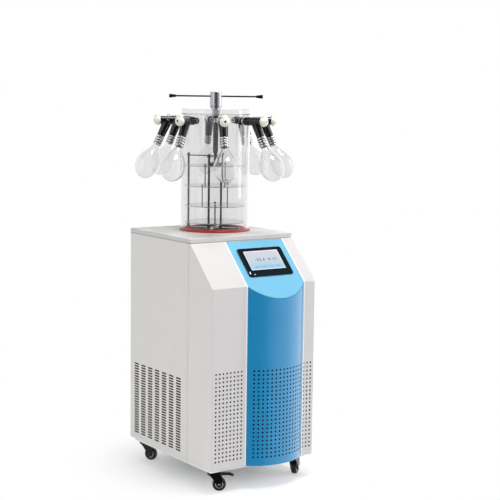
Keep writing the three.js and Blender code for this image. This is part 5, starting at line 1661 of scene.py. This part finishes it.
def makeCompressor(sizes):
    low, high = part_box("compressor")
    middle, height = (low + high) / 2, high.z - low.z
    radius, bottom, seam, at, stub, length = taken(sizes, "radius bottom seam seamAt stub stubLength")
    place = Matrix.Translation((middle.x, middle.y, low.z))
    bead, upper = radius + seam * 0.6, radius - 0.001
    section = rounded([
        (0, bottom, 0), (radius * 0.8, bottom, 0.010), (radius, radius * 0.25, 0.02), (radius, at - seam, 0.001),
        (bead, at - seam, 0.0008), (bead, at + seam, 0.0008), (upper, at + seam, 0.001),
        (upper, height - radius * 0.45, 0.03), (radius * 0.85, height - radius * 0.15, 0.03),
        (radius * 0.45, height, 0.03), (0, height, 0)], 6)
    finished(lathe("compressor_finished", section, 96, place), blackEnamel)
    wide, deep = (high.x - low.x) / 2, (high.y - low.y) / 2 * 0.8
    outline = roundedRectangle(2 * wide, 2 * deep, sizes["corner"])
    plate = prism("compressor_foot", outline, 0.0001, sizes["foot"], place)
    finished(bevelled(plate, 0.0008, 2), blackEnamel)
    section = rounded([(0, 0.0035, 0), (0.009, 0.0035, 0.001), (0.007, 0.013, 0.002), (0.0035, 0.013, 0),
                       (0.0035, 0.019, 0.001), (0, 0.019, 0)], 3)
    aside, ahead = wide - sizes["bolt"], deep - sizes["bolt"]
    bolts = [lathe("bolt", section, 24, place @ Matrix.Translation((x * aside, y * ahead, 0)))
             for x in (-1, 1) for y in (-1, 1)]
    finished(joined("compressor_mounts", bolts), blackRubber)
    across, thick, tall = sizes["box"]
    spot = place @ Matrix.Translation((0, -radius - thick / 2 + sizes["boxSunk"], sizes["boxLow"]))
    cover = prism("compressor_terminals", roundedRectangle(across, thick, 0.004, 5), 0, tall, spot)
    finished(bevelled(cover, 0.0015), blackPlastic)
    section = rounded([(0, 0, 0), (stub, 0, 0), (stub, length, 0.001), (stub - 0.001, length, 0),
                       (0, length - 0.001, 0)], 3)
    outwards = Matrix.Rotation(math.pi / 2, 4, "Y")
    stubs = [lathe("stub", section, 32, place @ Matrix.Rotation(turn, 4, "Z")
                   @ Matrix.Translation((radius - 0.006, 0, rise)) @ outwards) for turn, rise in sizes["stubs"]]
    finished(joined("compressor_stubs", stubs), copper)


condenserSizes = {"core": 0.022, "shroud": 0.048, "sheet": 0.002, "ring": 0.118, "rim": 0.016, "motor": 0.034,
                  "motorSunk": 0.011, "arm": 0.016, "fins": 118, "finThickness": 0.00035, "finRoom": 0.006,
                  "tube": 0.0046, "tubeRows": 11, "tubeRoom": 0.0115, "rowRoom": 0.015, "shaft": 0.004}


def makeCondenser(sizes):
    low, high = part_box("condenser")
    core, sheet, ring, count, rows, radius = taken(sizes, "core sheet ring fins tubeRows tube")
    wide, tall, back, middle = high.x - low.x, high.z - low.z, low.y + core + sizes["shroud"], low.y + core / 2
    centre = Vector(((low.x + high.x) / 2, 0, (low.z + high.z) / 2))

    def atDepth(y):
        return Vector((centre.x, y, centre.z))

    room = sizes["finRoom"]
    fins = grown(
        meshObject("condenser_fins", []), rowOfPlates, Count=count, Start=(low.x + room, middle, centre.z),
        Step=((wide - 2 * room) / (count - 1), 0, 0),
        Size=(sizes["finThickness"], core - 0.001, tall - room), Material=finMetal)
    finished(fins, angle=None)
    pitch = (tall - 2 * sizes["rowRoom"]) / (rows - 1)
    heights = [low.z + sizes["rowRoom"] + row * pitch for row in range(rows)]
    left, right = low.x + sizes["tubeRoom"], high.x - sizes["tubeRoom"]  # the bends stay inside the end plates
    tubes = [tube("tube", radius, (left, middle, height), (right, middle, height), 20) for height in heights]
    for row, height in enumerate(heights[:-1]):
        end, side = ((right, 1), (left, -1))[row % 2]
        tubes.append(halfBend(radius, (end, middle, height), pitch / 2, side))
    finished(joined("condenser_tubes", tubes), copper)
    case = block("condenser_finished", (low.x, low.y, low.z), (high.x, back, high.z))
    opening = block("opening", (low.x + sheet, low.y - past, low.z + sheet),
                    (high.x - sheet, back - sheet, high.z - sheet))
    combined(case, [opening, tube("mouth", ring, atDepth(back - past), atDepth(back + past), 96)])
    bevelled(case, 0.0006, 2, 40)
    inner, outer, length = ring - 0.0012, ring - 0.0001, sizes["rim"]
    rim = lathe("rim", [(inner, 0), (outer, 0), (outer, length), (inner, length)], 96,
                axisFrame(atDepth(back - length), backwards))
    reach, half = ring + 0.006, sizes["arm"] / 2
    arms = [block("arm", (centre.x - across, start, centre.z - up), (centre.x + across, start + sheet, centre.z + up))
            for across, up, start in ((reach, half, back), (half, reach, back + sheet))]
    finished(joined("condenser_finished", [case, rim, *arms]), galvanised)
    front, depth, motor = back - sizes["motorSunk"], high.y - back + sizes["motorSunk"], sizes["motor"]
    can = rounded([(0, 0, 0), (motor, 0, 0.004), (motor, depth, 0.006), (0, depth, 0)], 5)
    finished(lathe("condenser_motor", can, 64, axisFrame(atDepth(front), backwards)), blackEnamel)
    shaft = tube("condenser_shaft", sizes["shaft"] - 0.0001, atDepth(low.y + core + gap), atDepth(front + 0.001))
    finished(shaft, steel)


def halfBend(radius, start, arc, side):
    # A pipe's half turn upwards from its start, in the plane of the fins' ends.
    loops = []
    for turn in [math.pi * step / 12 for step in range(13)]:
        centre = Vector(start) + Vector((side * arc * 0.8 * math.sin(turn), 0, arc * (1 - math.cos(turn))))
        out = Vector((side * math.sin(turn), 0, -math.cos(turn)))
        loops.append([centre + (out * x + backwards * y) * radius for x, y in circle(1, 16)])
    return loft("bend", loops)


fanSizes = {"blades": 5, "hub": 0.030, "depth": 0.024, "tip": 0.110, "rootTurn": 34, "tipTurn": 16, "rootChord": 0.040,
            "tipChord": 0.052, "camber": 0.004, "thickness": 0.0016, "bore": 0.0043, "hollow": 0.004, "shell": 0.003}


def makeFan(sizes):
    low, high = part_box("condenser_fan")
    place = axisFrame((low + high) / 2, backwards)
    wide, tip, thickness, bore, camber = taken(sizes, "hub tip thickness bore camber")
    half, inner = sizes["depth"] / 2, wide - sizes["shell"]
    floor = half - sizes["hollow"]
    hub = lathe("condenser_fan_finished", rounded([
        (bore, -half, 0), (wide * 0.8, -half, 0.003), (wide, 0.006 - half, 0.004), (wide, half, 0.001),
        (inner, half, 0.001), (inner, floor, 0.001), (bore, floor, 0)], 4), 64, place)
    loops = []
    for share in [station / 6 for station in range(7)]:
        reach = wide - 0.001 + (tip - wide) * share
        pitch = math.radians(sizes["rootTurn"] + (sizes["tipTurn"] - sizes["rootTurn"]) * share)
        chord = sizes["rootChord"] + (sizes["tipChord"] - sizes["rootChord"]) * share
        edge = [(chord * (step / 8 - 0.5), camber * (1 - (2 * step / 8 - 1) ** 2)) for step in range(9)]
        outline = [(x, z + thickness / 2) for x, z in edge] + [(x, z - thickness / 2) for x, z in reversed(edge)]
        loops.append([(reach, x * math.cos(pitch) - z * math.sin(pitch), x * math.sin(pitch) + z * math.cos(pitch))
                      for x, z in outline])
    blades = [moved(loft("blade", loops), place @ Matrix.Rotation(turn, 4, "Z"))
              for turn in turnsRound(sizes["blades"])]
    finished(joined("condenser_fan_finished", [hub, *blades]), galvanised, "fan")


makeTrap(trapSizes)
makeCompressor(compressorSizes)
makeCondenser(condenserSizes)
makeFan(fanSizes)
print("machinery made")
